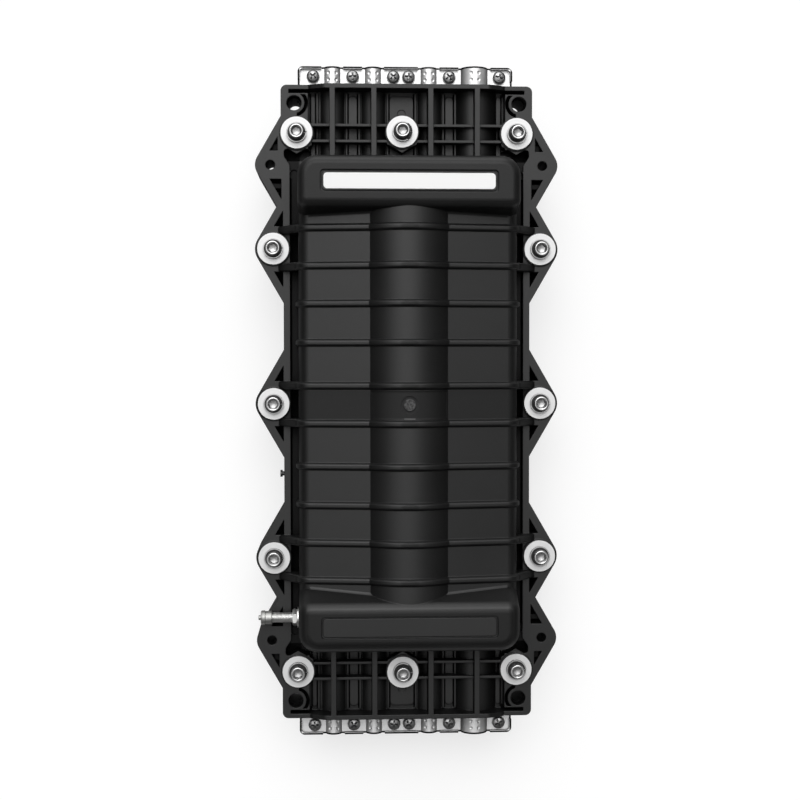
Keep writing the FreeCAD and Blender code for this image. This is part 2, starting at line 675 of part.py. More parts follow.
def port_works():
    """Port tubes, ribs, pads, end wall and bosses at one end."""
    inner_y = BOX_OUT_Y - WALL
    outer_y = END_HALF_LENGTH - END_WALL / 2
    shapes = []
    for x, radius in zip(PORT_X, PORT_OUTER_R):
        pipe = Part.makeCylinder(radius, outer_y - inner_y, Vector(x, inner_y, 0), ALONG)
        shapes.append(pipe.common(block(x - radius, x + radius, inner_y, outer_y, 0, radius)))
        half = PORT_RIB_WIDTH / 2
        shapes.append(block(x - half, x + half, inner_y, outer_y, radius / 2, END_WALL_Z))
    to_rim = PAD_RIM_GAP + PAD_RIM_WIDTH / 2
    for x, half in pads():
        shapes += [pad_rim(x - half - to_rim, inner_y), pad_rim(x + half + to_rim, inner_y)]
    shapes.append(pad_rim(OUTER_PADS[0][0] + OUTER_PADS[0][1] + to_rim, inner_y))
    shapes += [pad_bar(x, half, inner_y) for x, half in pads() + list(OUTER_PADS)]
    for y in CROSS_RIB_Y:
        half = CROSS_RIB_WIDTH / 2
        reach = PORT_FIELD_HALF_WIDTH + 1
        shapes.append(block(-reach, reach, y - half, y + half, PAD_Z - 1, FLANGE_DEPTH))
    shapes += [row_boss(x, y) for x, y in ROW_PLACES]
    step = PORT_FIELD_HALF_WIDTH + 1.0
    crest = step - 2 * END_WALL_RISE
    wall = lengthwise(
        [
            (-step, PAD_Z),
            (step, PAD_Z),
            (step, FLANGE_DEPTH, 6.0),
            (crest, END_WALL_Z, 6.0),
            (-crest, END_WALL_Z, 6.0),
            (-step, FLANGE_DEPTH, 6.0),
        ],
        END_HALF_LENGTH - END_WALL,
        END_HALF_LENGTH,
    )
    shapes.append(wall)
    return shapes


def pad_bar(x, half, inner_y):
    """Flat bar with a rounded outer end on the floor between two ports."""
    outer_y = END_HALF_LENGTH - END_WALL - 3.0
    rounding = min(half, PAD_BAR_HALF_WIDTH) - 0.01
    return plate(
        [(x - half, inner_y), (x + half, inner_y), (x + half, outer_y, rounding), (x - half, outer_y, rounding)],
        PAD_Z - 1,
        PAD_Z + PAD_BAR_RISE,
    )


def pad_rim(x, inner_y):
    """Low rim along the edge of a floor bar."""
    half = PAD_RIM_WIDTH / 2
    outer_y = END_HALF_LENGTH - END_WALL - 1.0
    return block(x - half, x + half, inner_y, outer_y, PAD_Z - 1, PAD_Z + PAD_RIM_RISE)


def row_boss(x, y):
    """Bolt boss at the end, round with a low gable towards the end box."""
    peak = y - BOSS_RADIUS - BOSS_PEAK
    reach = BOSS_RADIUS * 0.88
    eave = peak + reach * math.tan(LUG_EDGE_ANGLE)
    corners = [(x, peak), (x + reach, eave), (x + reach, y), (x - reach, y), (x - reach, eave)]
    wedge = plate(corners, PAD_Z - 1, FLANGE_DEPTH)
    return post(x, y, BOSS_RADIUS, PAD_Z - 1, BOSS_Z).fuse(wedge)


def half_shell():
    """Half shell above the parting plane, shared by cover and base, before the cuts that tell them apart."""
    flange = flange_block()
    ends = end_field()
    flange = flange.cut(ends + [cut.mirror(ORIGIN, ALONG) for cut in ends])
    adds = [body(0.0)]
    adds += end_boxes(0.0) + box_foot(REAR_BOX_TOP_Y, REAR_BOX_SLOPE)
    adds += [foot.mirror(ORIGIN, ALONG) for foot in box_foot(FRONT_BOX_TOP_Y, FRONT_BOX_SLOPE)]
    for y in SINGLE_RIB_Y:
        adds += mirrored_y(body_rib(y))
    for middle in (-SIDE_BOLT_Y, 0.0, SIDE_BOLT_Y):
        for y in (middle - PAIR_RIB_OFFSET, middle + PAIR_RIB_OFFSET):
            foot = gusset(y)
            adds += [body_rib(y), foot, foot.mirror(ORIGIN, ACROSS)]
    for shape in port_works():
        adds += mirrored_y(shape)
    adds += [post(x, y, BOSS_RADIUS, FLANGE_FLOOR, BOSS_Z) for x, y in SIDE_BOLTS]
    outer = joined([flange] + adds)
    hollow = [body(-WALL)] + end_boxes(WALL)
    for x, radius in zip(PORT_X, PORT_BORE_R):
        reach = END_HALF_LENGTH - BAR_Y + 1
        pipe = Part.makeCylinder(radius, reach, Vector(x, BAR_Y, 0), ALONG)
        hollow += mirrored_y(pipe)
    holes = [post(x, y, HANG_HOLE_D / 2, -1, FLANGE_DEPTH + 1) for x, y in HANG_HOLES]
    holes += [post(x, y, CORNER_HOLE_D / 2, -1, FLANGE_DEPTH + 1) for x, y in CORNER_HOLES]
    mark_z = PAD_Z + PAD_BAR_RISE
    mark = post(ROW_BOLT_MID_X, PAD_MARK_Y, PAD_MARK_R, mark_z - PAD_MARK_DEPTH, mark_z + 1)
    holes += mirrored_y(mark)
    return outer.cut(hollow + holes)


def recess(y, margin, z0, z1):
    """Rounded bar that fills the label recess of an end box, less a margin."""
    half_l = RECESS_LENGTH / 2 - margin
    half_w = RECESS_WIDTH / 2 - margin
    radius = 2.4
    return plate(
        [
            (-half_l, y - half_w, radius),
            (half_l, y - half_w, radius),
            (half_l, y + half_w, radius),
            (-half_l, y + half_w, radius),
        ],
        z0,
        z1,
    )


def cover_shell(half):
    """Upper half shell: bolt holes, sunk corner holes, label recesses, the gate mark and the valve's hole."""
    cuts = [post(x, y, BOLT_HOLE_R, -1, BOSS_Z + 1) for x, y in BOLTS]
    cuts += [post(x, y, CORNER_SINK_D / 2, CORNER_SINK_Z, FLANGE_DEPTH + 1) for x, y in CORNER_HOLES]
    floor_z = HALF_HEIGHT - RECESS_DEPTH
    moat_z = floor_z - RECESS_MOAT_DEPTH
    for y in (-RECESS_Y, RECESS_Y):
        island = recess(y, RECESS_MOAT_WIDTH, moat_z, floor_z)
        cuts.append(recess(y, 0.0, moat_z, HALF_HEIGHT + 1).cut(island))
    bay_y = PAIR_RIB_OFFSET - RIB_WIDTH / 2 - BAY_MARGIN
    bay_x = HUMP_HALF_WIDTH - BAY_MARGIN
    cuts.append(block(-bay_x, bay_x, -bay_y, bay_y, SHOULDER_INNER_Z, HUMP_Z + 1).cut(body(-BAY_DEPTH)))
    cuts.append(post(0, 0, GATE_DISH_R, HUMP_Z - GATE_DISH_DEPTH, HUMP_Z + 1))
    valve_r = VALVE_STEM_R + VALVE_HOLE_CLEARANCE
    cuts.append(valve_rod(-1, WALL + 1, valve_r))
    shell = half.cut(cuts)
    stub = post(0, 0, GATE_R, HUMP_Z - WALL / 2, HUMP_Z - GATE_DISH_DEPTH + GATE_RISE)
    return shell.fuse(stub)


def base_shell(half):
    """Lower half shell: blind holes for the inserts, gasket grooves, clamp seats and posts for what it carries."""
    low = half.mirror(ORIGIN, UP)
    frame_low = FRAME_TOP_Z - FRAME_THICKNESS
    bar_low = BAR_TOP_Z - BAR_THICKNESS
    rooted = WALL / 2 - shoulder_z(FRAME_POST_X)
    adds = [post(sx * FRAME_POST_X, sy * FRAME_POST_Y, POST_RADIUS, rooted, frame_low)
            for sx in (-1, 1) for sy in (-1, 1)]
    adds += [post(sx * BAR_POST_X, sy * BAR_Y, POST_RADIUS, WALL / 2 - HALF_HEIGHT, bar_low)
             for sx in (-1, 1) for sy in (-1, 1)]
    cuts = [post(x, y, INSERT_D / 2 + RUN_CLEARANCE, -INSERT_SINK - INSERT_LENGTH, 1) for x, y in BOLTS]
    cuts += [gasket_plan(side, GASKET_SIDE_CLEARANCE, 1.0) for side in (-1, 1)]
    cuts += port_strips(GASKET_SIDE_CLEARANCE, 1.0)
    seat = block(
        CLAMP_LEFT_X - CLAMP_SEAT_CLEARANCE,
        CLAMP_RIGHT_X + CLAMP_SEAT_CLEARANCE,
        CLAMP_IN_Y - CLAMP_SEAT_CLEARANCE,
        END_HALF_LENGTH + 1,
        -CLAMP_GAP / 2 - CLAMP_THICKNESS,
        1,
    )
    cuts += mirrored_y(seat)
    seat_z = -CLAMP_GAP / 2 - CLAMP_THICKNESS
    for x in SEAT_SCREW_X:
        hole = post(x, SEAT_SCREW_Y, SEAT_SCREW_D / 2 + RUN_CLEARANCE, seat_z - SEAT_SCREW_LENGTH, seat_z + 1)
        cuts += mirrored_y(hole)
    for sx in (-1, 1):
        hole = post(sx * BAR_POST_X, BAR_Y, ANCHOR_SCREW_D / 2 + RUN_CLEARANCE, bar_low - ANCHOR_SCREW_LENGTH, 0)
        cuts += mirrored_y(hole)
        hole = post(sx * FRAME_POST_X, FRAME_POST_Y, FRAME_SCREW_D / 2 + RUN_CLEARANCE, rooted + 4, 0)
        cuts += mirrored_y(hole)
    neck = SIDE_SCREW_NECK_R + RUN_CLEARANCE
    cuts.append(
        Part.makeCylinder(
            neck, SIDE_SCREW_LENGTH, Vector(-FLANGE_HALF_WIDTH - 1, SIDE_SCREW_Y, SIDE_SCREW_Z), ACROSS
        )
    )
    return low.fuse(adds).cut(cuts)


def gasket_plan(side, grow, top):
    """One side gasket: straight along the flange, stepped in at the ends to pass inside the corner bolts."""
    half = GASKET_WIDTH / 2 + grow
    run = GASKET_X - GASKET_END_X
    far = GASKET_BEND_Y - run
    bend = half * math.tan(math.radians(22.5))
    inner = [(GASKET_END_X - half, GASKET_END_Y + grow), (GASKET_END_X - half, GASKET_BEND_Y - bend)]
    inner += [(GASKET_X - half, far - bend)]
    outer = [(GASKET_END_X + half, GASKET_END_Y + grow), (GASKET_END_X + half, GASKET_BEND_Y + bend)]
    outer += [(GASKET_X + half, far + bend)]
    corners = inner + [(x, -y) for x, y in reversed(inner)] + [(x, -y) for x, y in outer] + list(reversed(outer))
    return plate([(side * x, y) for x, y in corners], -GASKET_DEPTH, top)


def port_strips(grow, top):
    """Short seal strips on the lands between the ports, at both ends."""
    strips = []
    half = GASKET_WIDTH / 2 + grow
    for left in range(len(PORT_X) - 1):
        lo = PORT_X[left] + PORT_BORE_R[left]
        hi = PORT_X[left + 1] - PORT_BORE_R[left + 1]
        far_y = GASKET_END_Y
        if lo < ROW_BOLT_MID_X < hi:
            far_y = ROW_BOLT_Y - INSERT_D / 2 - 2.5
        strip = block((lo + hi) / 2 - half, (lo + hi) / 2 + half, BOX_OUT_Y - grow, far_y + grow, -GASKET_DEPTH, top)
        strips += mirrored_y(strip)
    return strips


def bolt(x, y):
    """Socket-head cap screw, seated on its spring washer."""
    seat = BOSS_Z + WASHER_THICKNESS + SPRING_WASHER_THICKNESS
    shank = post(x, y, BOLT_D / 2, seat - BOLT_LENGTH, seat + 1)
    head = post(x, y, HEAD_D / 2, seat, seat + HEAD_HEIGHT)
    rim = [e for e in head.Edges if e.BoundBox.ZMin > seat + HEAD_HEIGHT - 0.1]
    head = head.makeChamfer(0.5, rim)
    socket = hexagon(HEAD_SOCKET_AF, lambda u, v: Vector(x + u, y + v, seat + HEAD_HEIGHT - HEAD_SOCKET_DEPTH))
    return head.fuse(shank).removeSplitter().cut(socket.extrude(UP * (HEAD_SOCKET_DEPTH + 1)))


def spring_washer(x, y):
    """Split washer."""
    z0 = BOSS_Z + WASHER_THICKNESS
    z1 = z0 + SPRING_WASHER_THICKNESS
    ring = tube(x, y, SPRING_WASHER_D / 2, BOLT_HOLE_R, z0, z1)
    half = SPRING_WASHER_SLIT / 2
    return ring.cut(block(x, x + SPRING_WASHER_D, y - half, y + half, z0 - 1, z1 + 1))


def clamp_spans():
    """Ends of the five flats of a clamp strip, between and beside the saddles."""
    edges = [CLAMP_LEFT_X]
    for x, bore in zip(PORT_X, CLAMP_BORE_R):
        edges += [x - bore - CLAMP_THICKNESS, x + bore + CLAMP_THICKNESS]
    edges.append(CLAMP_RIGHT_X)
    return list(zip(edges[0::2], edges[1::2]))


def clamp_strip(inner_y, lipped):
    """Stamped strip at the rear end, above the parting plane: flats and half-round saddles in one sheet."""
    z0 = CLAMP_GAP / 2
    z1 = z0 + CLAMP_THICKNESS
    sheet = CLAMP_THICKNESS
    shapes = []
    for x, bore in zip(PORT_X, CLAMP_BORE_R):
        arch = Part.makeCylinder(bore + sheet, CLAMP_OUT_Y - inner_y, Vector(x, inner_y, 0), ALONG)
        shapes.append(arch.common(block(x - bore - sheet, x + bore + sheet, inner_y, CLAMP_OUT_Y, z0, bore + sheet)))
    spans = clamp_spans()
    for number, (lo, hi) in enumerate(spans):
        left_r = CLAMP_CORNER_RADIUS if number == 0 else 0.0
        right_r = CLAMP_CORNER_RADIUS if number == len(spans) - 1 else 0.0
        corners = [(lo - 0.4 * (left_r == 0), inner_y), (hi + 0.4 * (right_r == 0), inner_y)]
        corners += [(hi + 0.4 * (right_r == 0), CLAMP_OUT_Y, right_r), (lo - 0.4 * (left_r == 0), CLAMP_OUT_Y, left_r)]
        shapes.append(plate(corners, z0, z1))
        if lipped:
            shapes.append(clamp_lip(lo, hi, left_r, right_r, z0, z1 + CLAMP_LIP))
    strip = joined(shapes)
    bores = []
    for x, bore in zip(PORT_X, CLAMP_BORE_R):
        bores.append(Part.makeCylinder(bore, CLAMP_OUT_Y - inner_y + 2, Vector(x, inner_y - 1, 0), ALONG))
    bores += [post(x, CLAMP_SCREW_Y, CLAMP_SCREW_D / 2 + RUN_CLEARANCE, z0 - 1, z1 + 1) for x in CLAMP_SCREW_X]
    if lipped:
        bores += saddle_dents()
    return strip.cut(bores)


def saddle_dents():
    """Balls that press four small dents into the top of each saddle."""
    balls = []
    for x, bore in zip(PORT_X, CLAMP_BORE_R):
        crown = bore + CLAMP_THICKNESS
        angle = math.asin(DIMPLE_X / crown)
        reach = crown + DIMPLE_R - DIMPLE_DEPTH
        for side in (-1, 1):
            for along in (-DIMPLE_Y, DIMPLE_Y):
                at = Vector(x + side * reach * math.sin(angle), CLAMP_SCREW_Y + along, reach * math.cos(angle))
                balls.append(Part.makeSphere(DIMPLE_R, at))
    return balls


def clamp_lip(lo, hi, left_r, right_r, z0, z1):
    """Upturned lip along the outer edge of one flat, carried round the strip's own corner where it has one."""
    sheet = CLAMP_THICKNESS
    lo_x = lo if left_r else lo + CLAMP_RELIEF
    hi_x = hi if right_r else hi - CLAMP_RELIEF
    back = CLAMP_OUT_Y - 3 * CLAMP_LIP if left_r or right_r else CLAMP_OUT_Y - sheet
    outer = plate([(lo_x, back), (hi_x, back), (hi_x, CLAMP_OUT_Y, right_r), (lo_x, CLAMP_OUT_Y, left_r)], z0, z1)
    if not (left_r or right_r):
        return outer
    in_lo = lo_x + sheet if left_r else lo_x - 1
    in_hi = hi_x - sheet if right_r else hi_x + 1
    in_left = left_r - sheet if left_r else 0.0
    in_right = right_r - sheet if right_r else 0.0
    edge = CLAMP_OUT_Y - sheet
    inner = plate([(in_lo, back - 1), (in_hi, back - 1), (in_hi, edge, in_right), (in_lo, edge, in_left)], z0, z1)
    return outer.cut(inner)


def lower_strip():
    """Lower clamp strip at the rear end: it reaches in over the lands of the base, where two screws hold it."""
    strip = clamp_strip(CLAMP_IN_Y, False).mirror(ORIGIN, UP)
    z1 = -CLAMP_GAP / 2
    z0 = z1 - CLAMP_THICKNESS
    hole_r = SEAT_SCREW_D / 2 + RUN_CLEARANCE
    head_r = hole_r + CLAMP_THICKNESS
    cones = [Part.makeCone(hole_r, head_r, CLAMP_THICKNESS, Vector(x, SEAT_SCREW_Y, z0), UP) for x in SEAT_SCREW_X]
    notch_r = CORNER_HOLE_D / 2 + CLAMP_SEAT_CLEARANCE
    notches = [post(sx * CORNER_X, CORNER_Y, notch_r, z0 - 1, z1 + 1) for sx in (-1, 1)]
    return strip.cut(cones + notches)


def seat_screws():
    """Countersunk screws that hold the lower strips to the base."""
    z1 = -CLAMP_GAP / 2
    z0 = z1 - CLAMP_THICKNESS
    radius = SEAT_SCREW_D / 2
    screws = []
    for x in SEAT_SCREW_X:
        head = Part.makeCone(radius, radius + CLAMP_THICKNESS, CLAMP_THICKNESS, Vector(x, SEAT_SCREW_Y, z0), UP)
        shank = post(x, SEAT_SCREW_Y, radius, z0 - SEAT_SCREW_LENGTH + 1, z0)
        screws += mirrored_y(head.fuse(shank).removeSplitter())
    return screws


def pan_screw(x, y, seat, diameter, head_d, head_h, length):
    """Pan-head screw standing on a face."""
    shank = post(x, y, diameter / 2, seat - length, seat)
    head = post(x, y, head_d / 2, seat, seat + head_h)
    rim = [e for e in head.Edges if e.BoundBox.ZMin > seat + head_h - 0.1]
    head = head.makeChamfer(head_h * 0.4, rim)
    return head.fuse(shank).removeSplitter()


def clamp_screws():
    """Screws that draw the upper strip down at the rear end."""
    seat = CLAMP_GAP / 2 + CLAMP_THICKNESS
    return [pan_screw(x, CLAMP_SCREW_Y, seat, CLAMP_SCREW_D, CLAMP_HEAD_D, CLAMP_HEAD_HEIGHT, CLAMP_SCREW_LENGTH)
            for x in CLAMP_SCREW_X]


def tray_level(level):
    """Underside of a tray, counted from the frame."""
    return FRAME_TOP_Z + level * TRAY_DEPTH


def hinge_z(level):
    """Height of a tray's hinge pin."""
    return tray_level(level) + TRAY_DEPTH / 2


def tray_plan(inset):
    """Plan of a tray, shrunk by an inset."""
    half_w = TRAY_HALF_WIDTH - inset
    half_l = TRAY_HALF_LENGTH - inset
    radius = TRAY_CORNER_RADIUS - inset
    return [(-half_w, -half_l, radius), (half_w, -half_l, radius), (half_w, half_l, radius), (-half_w, half_l, radius)]


def splice_tray(level):
    """Tray with winding islands, splice combs, fibre mouths and hinge knuckles."""
    z0 = tray_level(level)
    z1 = z0 + TRAY_DEPTH
    floor = z0 + TRAY_WALL
    tray = plate(tray_plan(0.0), z0, z1).cut(plate(tray_plan(TRAY_WALL), floor, z1 + 1))
    mouth_x = TRAY_HALF_WIDTH - TRAY_CORNER_RADIUS - TRAY_MOUTH / 2
    mouths = [block(sx * mouth_x - TRAY_MOUTH / 2, sx * mouth_x + TRAY_MOUTH / 2, TRAY_HALF_LENGTH - 2 * TRAY_WALL,
                    TRAY_HALF_LENGTH + 1, floor, z1 + 1) for sx in (-1, 1)]
    adds = []
    island_r = TRAY_HALF_WIDTH * 0.52
    for sy in (-1, 1):
        y = sy * (TRAY_HALF_LENGTH - TRAY_WALL - island_r - TRAY_BEND)
        ring = tube(0, y, island_r, island_r - TRAY_WALL, floor - TRAY_WALL / 2, z1 - 1)
        adds.append(ring.common(block(-island_r, island_r, min(y, y + sy * island_r), max(y, y + sy * island_r), z0, z1)))
    comb_h = TRAY_DEPTH - TRAY_WALL - 3
    tooth = COMB_PITCH * 0.3
    for row in (-1, 1):
        for k in range(COMB_SLOTS + 1):
            x = (k - COMB_SLOTS / 2) * COMB_PITCH
            y0 = row * COMB_Y - COMB_HALF_LENGTH
            adds.append(block(x - tooth / 2, x + tooth / 2, y0, y0 + 2 * COMB_HALF_LENGTH, floor - 0.5, floor + comb_h))
    for sx in (-1, 1):
        adds.append(hinge_knuckle(sx * HINGE_EAR_X, z0, level))
    pin = hinge_pin_hole(level)
    return tray.cut(mouths).fuse(adds).cut(pin).removeSplitter()


def hinge_knuckle(x, z0, level):
    """Knuckle at the tray's edge that turns on the hinge pin."""
    half = HINGE_EAR_WIDTH / 2
    radius = HINGE_PIN_D / 2 + 1.8
    eye = Part.makeCylinder(radius, 2 * half, Vector(x - half, HINGE_Y, hinge_z(level)), ACROSS)
    arm = block(x - half, x + half, HINGE_Y, TRAY_WALL / 2 - TRAY_HALF_LENGTH, hinge_z(level) - radius,
                hinge_z(level) + radius)
    return eye.fuse(arm)


def hinge_pin_hole(level):
    """Bore for a hinge pin."""
    reach = HINGE_EAR_X + 4 * HINGE_EAR_WIDTH
    return Part.makeCylinder(
        HINGE_PIN_D / 2 + RUN_CLEARANCE, 2 * reach, Vector(-reach, HINGE_Y, hinge_z(level)), ACROSS
    )


def hinge_pins():
    """Pins of the two trays."""
    half = HINGE_EAR_X + HINGE_EAR_WIDTH / 2 + HINGE_EAR_GAP + FRAME_THICKNESS + 1
    return [Part.makeCylinder(HINGE_PIN_D / 2, 2 * half, Vector(-half, HINGE_Y, hinge_z(level)), ACROSS)
            for level in (0, 1)]


def tray_frame():
    """Folded sheet frame under the trays, with two hinge uprights."""
    low = FRAME_TOP_Z - FRAME_THICKNESS
    corners = [(sx * FRAME_HALF_WIDTH, sy * FRAME_HALF_LENGTH, FRAME_CORNER_RADIUS)
               for sx, sy in ((-1, -1), (1, -1), (1, 1), (-1, 1))]
    sheet = plate(corners, low, FRAME_TOP_Z)
    window_w = FRAME_HALF_WIDTH * 0.55
    window_l = FRAME_HALF_LENGTH * 0.3
    windows = []
    for sy in (-1, 1):
        y = sy * FRAME_HALF_LENGTH * 0.42
        windows.append(plate([(-window_w, y - window_l, 5), (window_w, y - window_l, 5), (window_w, y + window_l, 5),
                              (-window_w, y + window_l, 5)], low - 1, FRAME_TOP_Z + 1))
    top = hinge_z(1) + HINGE_PIN_D / 2 + 2.5
    uprights = []
    for sx in (-1, 1):
        near = HINGE_EAR_X + HINGE_EAR_WIDTH / 2 + HINGE_EAR_GAP
        lo, hi = sorted((sx * near, sx * (near + FRAME_THICKNESS)))
        upright = crosswise(
            [(HINGE_Y - 5, low), (HINGE_Y + 4, low), (HINGE_Y + 4, top, 3), (HINGE_Y - 5, top, 3)], lo, hi
        )
        uprights.append(upright)
    holes = [post(sx * FRAME_POST_X, sy * FRAME_POST_Y, FRAME_SCREW_D / 2 + BOLT_CLEARANCE, low - 1, FRAME_TOP_Z + 1)
             for sx in (-1, 1) for sy in (-1, 1)]
    frame = sheet.cut(windows + holes).fuse(uprights)
    return frame.cut([hinge_pin_hole(0), hinge_pin_hole(1)]).removeSplitter()


def tray_lid():
    """Clear lid that lies on the upper tray."""
    z0 = tray_level(1) + TRAY_DEPTH
    lid = plate(tray_plan(0.0), z0, z0 + LID_THICKNESS)
    notch = [block(sx * TRAY_HALF_WIDTH * 0.5 - 6, sx * TRAY_HALF_WIDTH * 0.5 + 6, TRAY_HALF_LENGTH - 5,
                   TRAY_HALF_LENGTH + 1, z0 - 1, z0 + LID_THICKNESS + 1) for sx in (-1, 1)]
    return lid.cut(notch)


def anchor_bar():
    """Bar across the rear end box that holds the cables' strength members."""
    low = BAR_TOP_Z - BAR_THICKNESS
    half = BAR_WIDTH / 2
    bar = plate([(sx * BAR_HALF_LENGTH, BAR_Y + sy * half, 3.0) for sx, sy in ((-1, -1), (1, -1), (1, 1), (-1, 1))],
                low, BAR_TOP_Z)
    hole_r = ANCHOR_SCREW_D / 2 + RUN_CLEARANCE
    holes = [post(x, BAR_Y, hole_r, low - 1, BAR_TOP_Z + 1) for x in PORT_X]
    holes += [post(sx * BAR_POST_X, BAR_Y, ANCHOR_SCREW_D / 2 + BOLT_CLEARANCE, low - 1, BAR_TOP_Z + 1)
              for sx in (-1, 1)]
    return bar.cut(holes)


def anchor_yoke(x):
    """Saddle block that grips a strength member on the bar."""
    half = YOKE_WIDTH / 2
    top = BAR_TOP_Z + YOKE_HEIGHT
    yoke = plate([(x + sx * half * 0.8, BAR_Y + sy * half, 1.2) for sx, sy in ((-1, -1), (1, -1), (1, 1), (-1, 1))],
                 BAR_TOP_Z, top)
    groove_x = x + half * 0.5
    groove = Part.makeCylinder(YOKE_SLOT_R, YOKE_WIDTH + 2, Vector(groove_x, BAR_Y - half - 1, BAR_TOP_Z), ALONG)
    hole = post(x, BAR_Y, ANCHOR_SCREW_D / 2 + RUN_CLEARANCE, BAR_TOP_Z - 1, top + 1)
    return yoke.cut([groove, hole])


def anchor_screws():
    """Screws of the yokes and of the two anchor bars."""
    yoke_top = BAR_TOP_Z + YOKE_HEIGHT
    reach = YOKE_HEIGHT + BAR_THICKNESS + 1
    rear = [pan_screw(x, BAR_Y, yoke_top, ANCHOR_SCREW_D, ANCHOR_HEAD_D, ANCHOR_HEAD_HEIGHT, reach) for x in PORT_X]
    rear += [pan_screw(sx * BAR_POST_X, BAR_Y, BAR_TOP_Z, ANCHOR_SCREW_D, ANCHOR_HEAD_D, ANCHOR_HEAD_HEIGHT,
                       ANCHOR_SCREW_LENGTH) for sx in (-1, 1)]
    return [image for screw in rear for image in mirrored_y(screw)]


def frame_screws():
    """Screws that hold the frame to its posts."""
    return [pan_screw(sx * FRAME_POST_X, sy * FRAME_POST_Y, FRAME_TOP_Z, FRAME_SCREW_D, ANCHOR_HEAD_D,
                      ANCHOR_HEAD_HEIGHT, FRAME_SCREW_LENGTH) for sx in (-1, 1) for sy in (-1, 1)]


def valve_rod(start, end, radius):
    """Cylinder on the valve's axis between two depths, counted inwards from the outside of the wall."""
    return Part.makeCylinder(radius, end - start, Vector(VALVE_WALL_X + start, VALVE_Y, VALVE_Z), ACROSS)


def valve_ring(start, end, outer, inner):
    """Ring on the valve's axis between two depths."""
    return valve_rod(start, end, outer).cut(valve_rod(start - 1, end + 1, inner))


def valve_stem():
    """Threaded stem with a flange inside the wall and a bore for the core."""
    seat = WALL + VALVE_SEAL_THICKNESS
    stem = valve_rod(-VALVE_STEM_OUT, seat + 1, VALVE_STEM_R)
    head = valve_rod(seat, seat + VALVE_HEAD_LENGTH, VALVE_HEAD_R)
    bore = valve_rod(-VALVE_STEM_OUT - 1, seat + VALVE_HEAD_LENGTH + 1, VALVE_BORE_R)
    return stem.fuse(head).cut(bore).removeSplitter()


def valve_nut():
    """Hexagon nut on the stem."""
    end = -VALVE_WASHER_THICKNESS
    start = end - VALVE_NUT_LENGTH
    face = hexagon(VALVE_NUT_AF, lambda u, v: Vector(VALVE_WALL_X + start, VALVE_Y + u, VALVE_Z + v))
    nut = face.extrude(ACROSS * VALVE_NUT_LENGTH)
    turned = valve_rod(start, end, VALVE_NUT_AF / math.sqrt(3))
    rims = [e for e in turned.Edges if e.BoundBox.XLength < 0.01]
    nut = nut.common(turned.makeChamfer(VALVE_NUT_CHAMFER, rims))
    return nut.cut(valve_rod(start - 1, end + 1, VALVE_STEM_R + RUN_CLEARANCE))


def valve_pin():
    """Core pin in the bore."""
    start = -VALVE_STEM_OUT - VALVE_PIN_PROUD
    return valve_rod(start, start + VALVE_PIN_LENGTH, VALVE_PIN_R)


def valve_cap():
    """Dust cap: skirt, wider gripping head and a small tip that turns the core."""
    bore_end = -VALVE_STEM_OUT - VALVE_CAP_GAP
    head_start = bore_end - 1.0
    skirt_start = head_start + VALVE_CAP_HEAD
    skirt_end = skirt_start + VALVE_CAP_SKIRT
    skirt = valve_rod(skirt_start - 0.5, skirt_end, VALVE_CAP_SKIRT_R)
    head = valve_rod(head_start, skirt_start, VALVE_CAP_HEAD_R)
    tip = valve_rod(head_start - VALVE_CAP_TIP, head_start + 0.5, VALVE_CAP_TIP_R)
    bore = valve_rod(bore_end, skirt_end + 1, VALVE_STEM_R + VALVE_CAP_FIT)
    return joined([head, skirt, tip]).cut(bore)


def side_screw():
    """Small headed screw in the edge of the base flange."""
    x = -FLANGE_HALF_WIDTH - SIDE_SCREW_PROUD
    neck = Part.makeCylinder(
        SIDE_SCREW_NECK_R, SIDE_SCREW_LENGTH - 1, Vector(x, SIDE_SCREW_Y, SIDE_SCREW_Z), ACROSS
    )
    head = Part.makeCylinder(
        SIDE_SCREW_HEAD_R, SIDE_SCREW_HEAD, Vector(x - SIDE_SCREW_HEAD, SIDE_SCREW_Y, SIDE_SCREW_Z), ACROSS
    )
    return neck.fuse(head).removeSplitter()


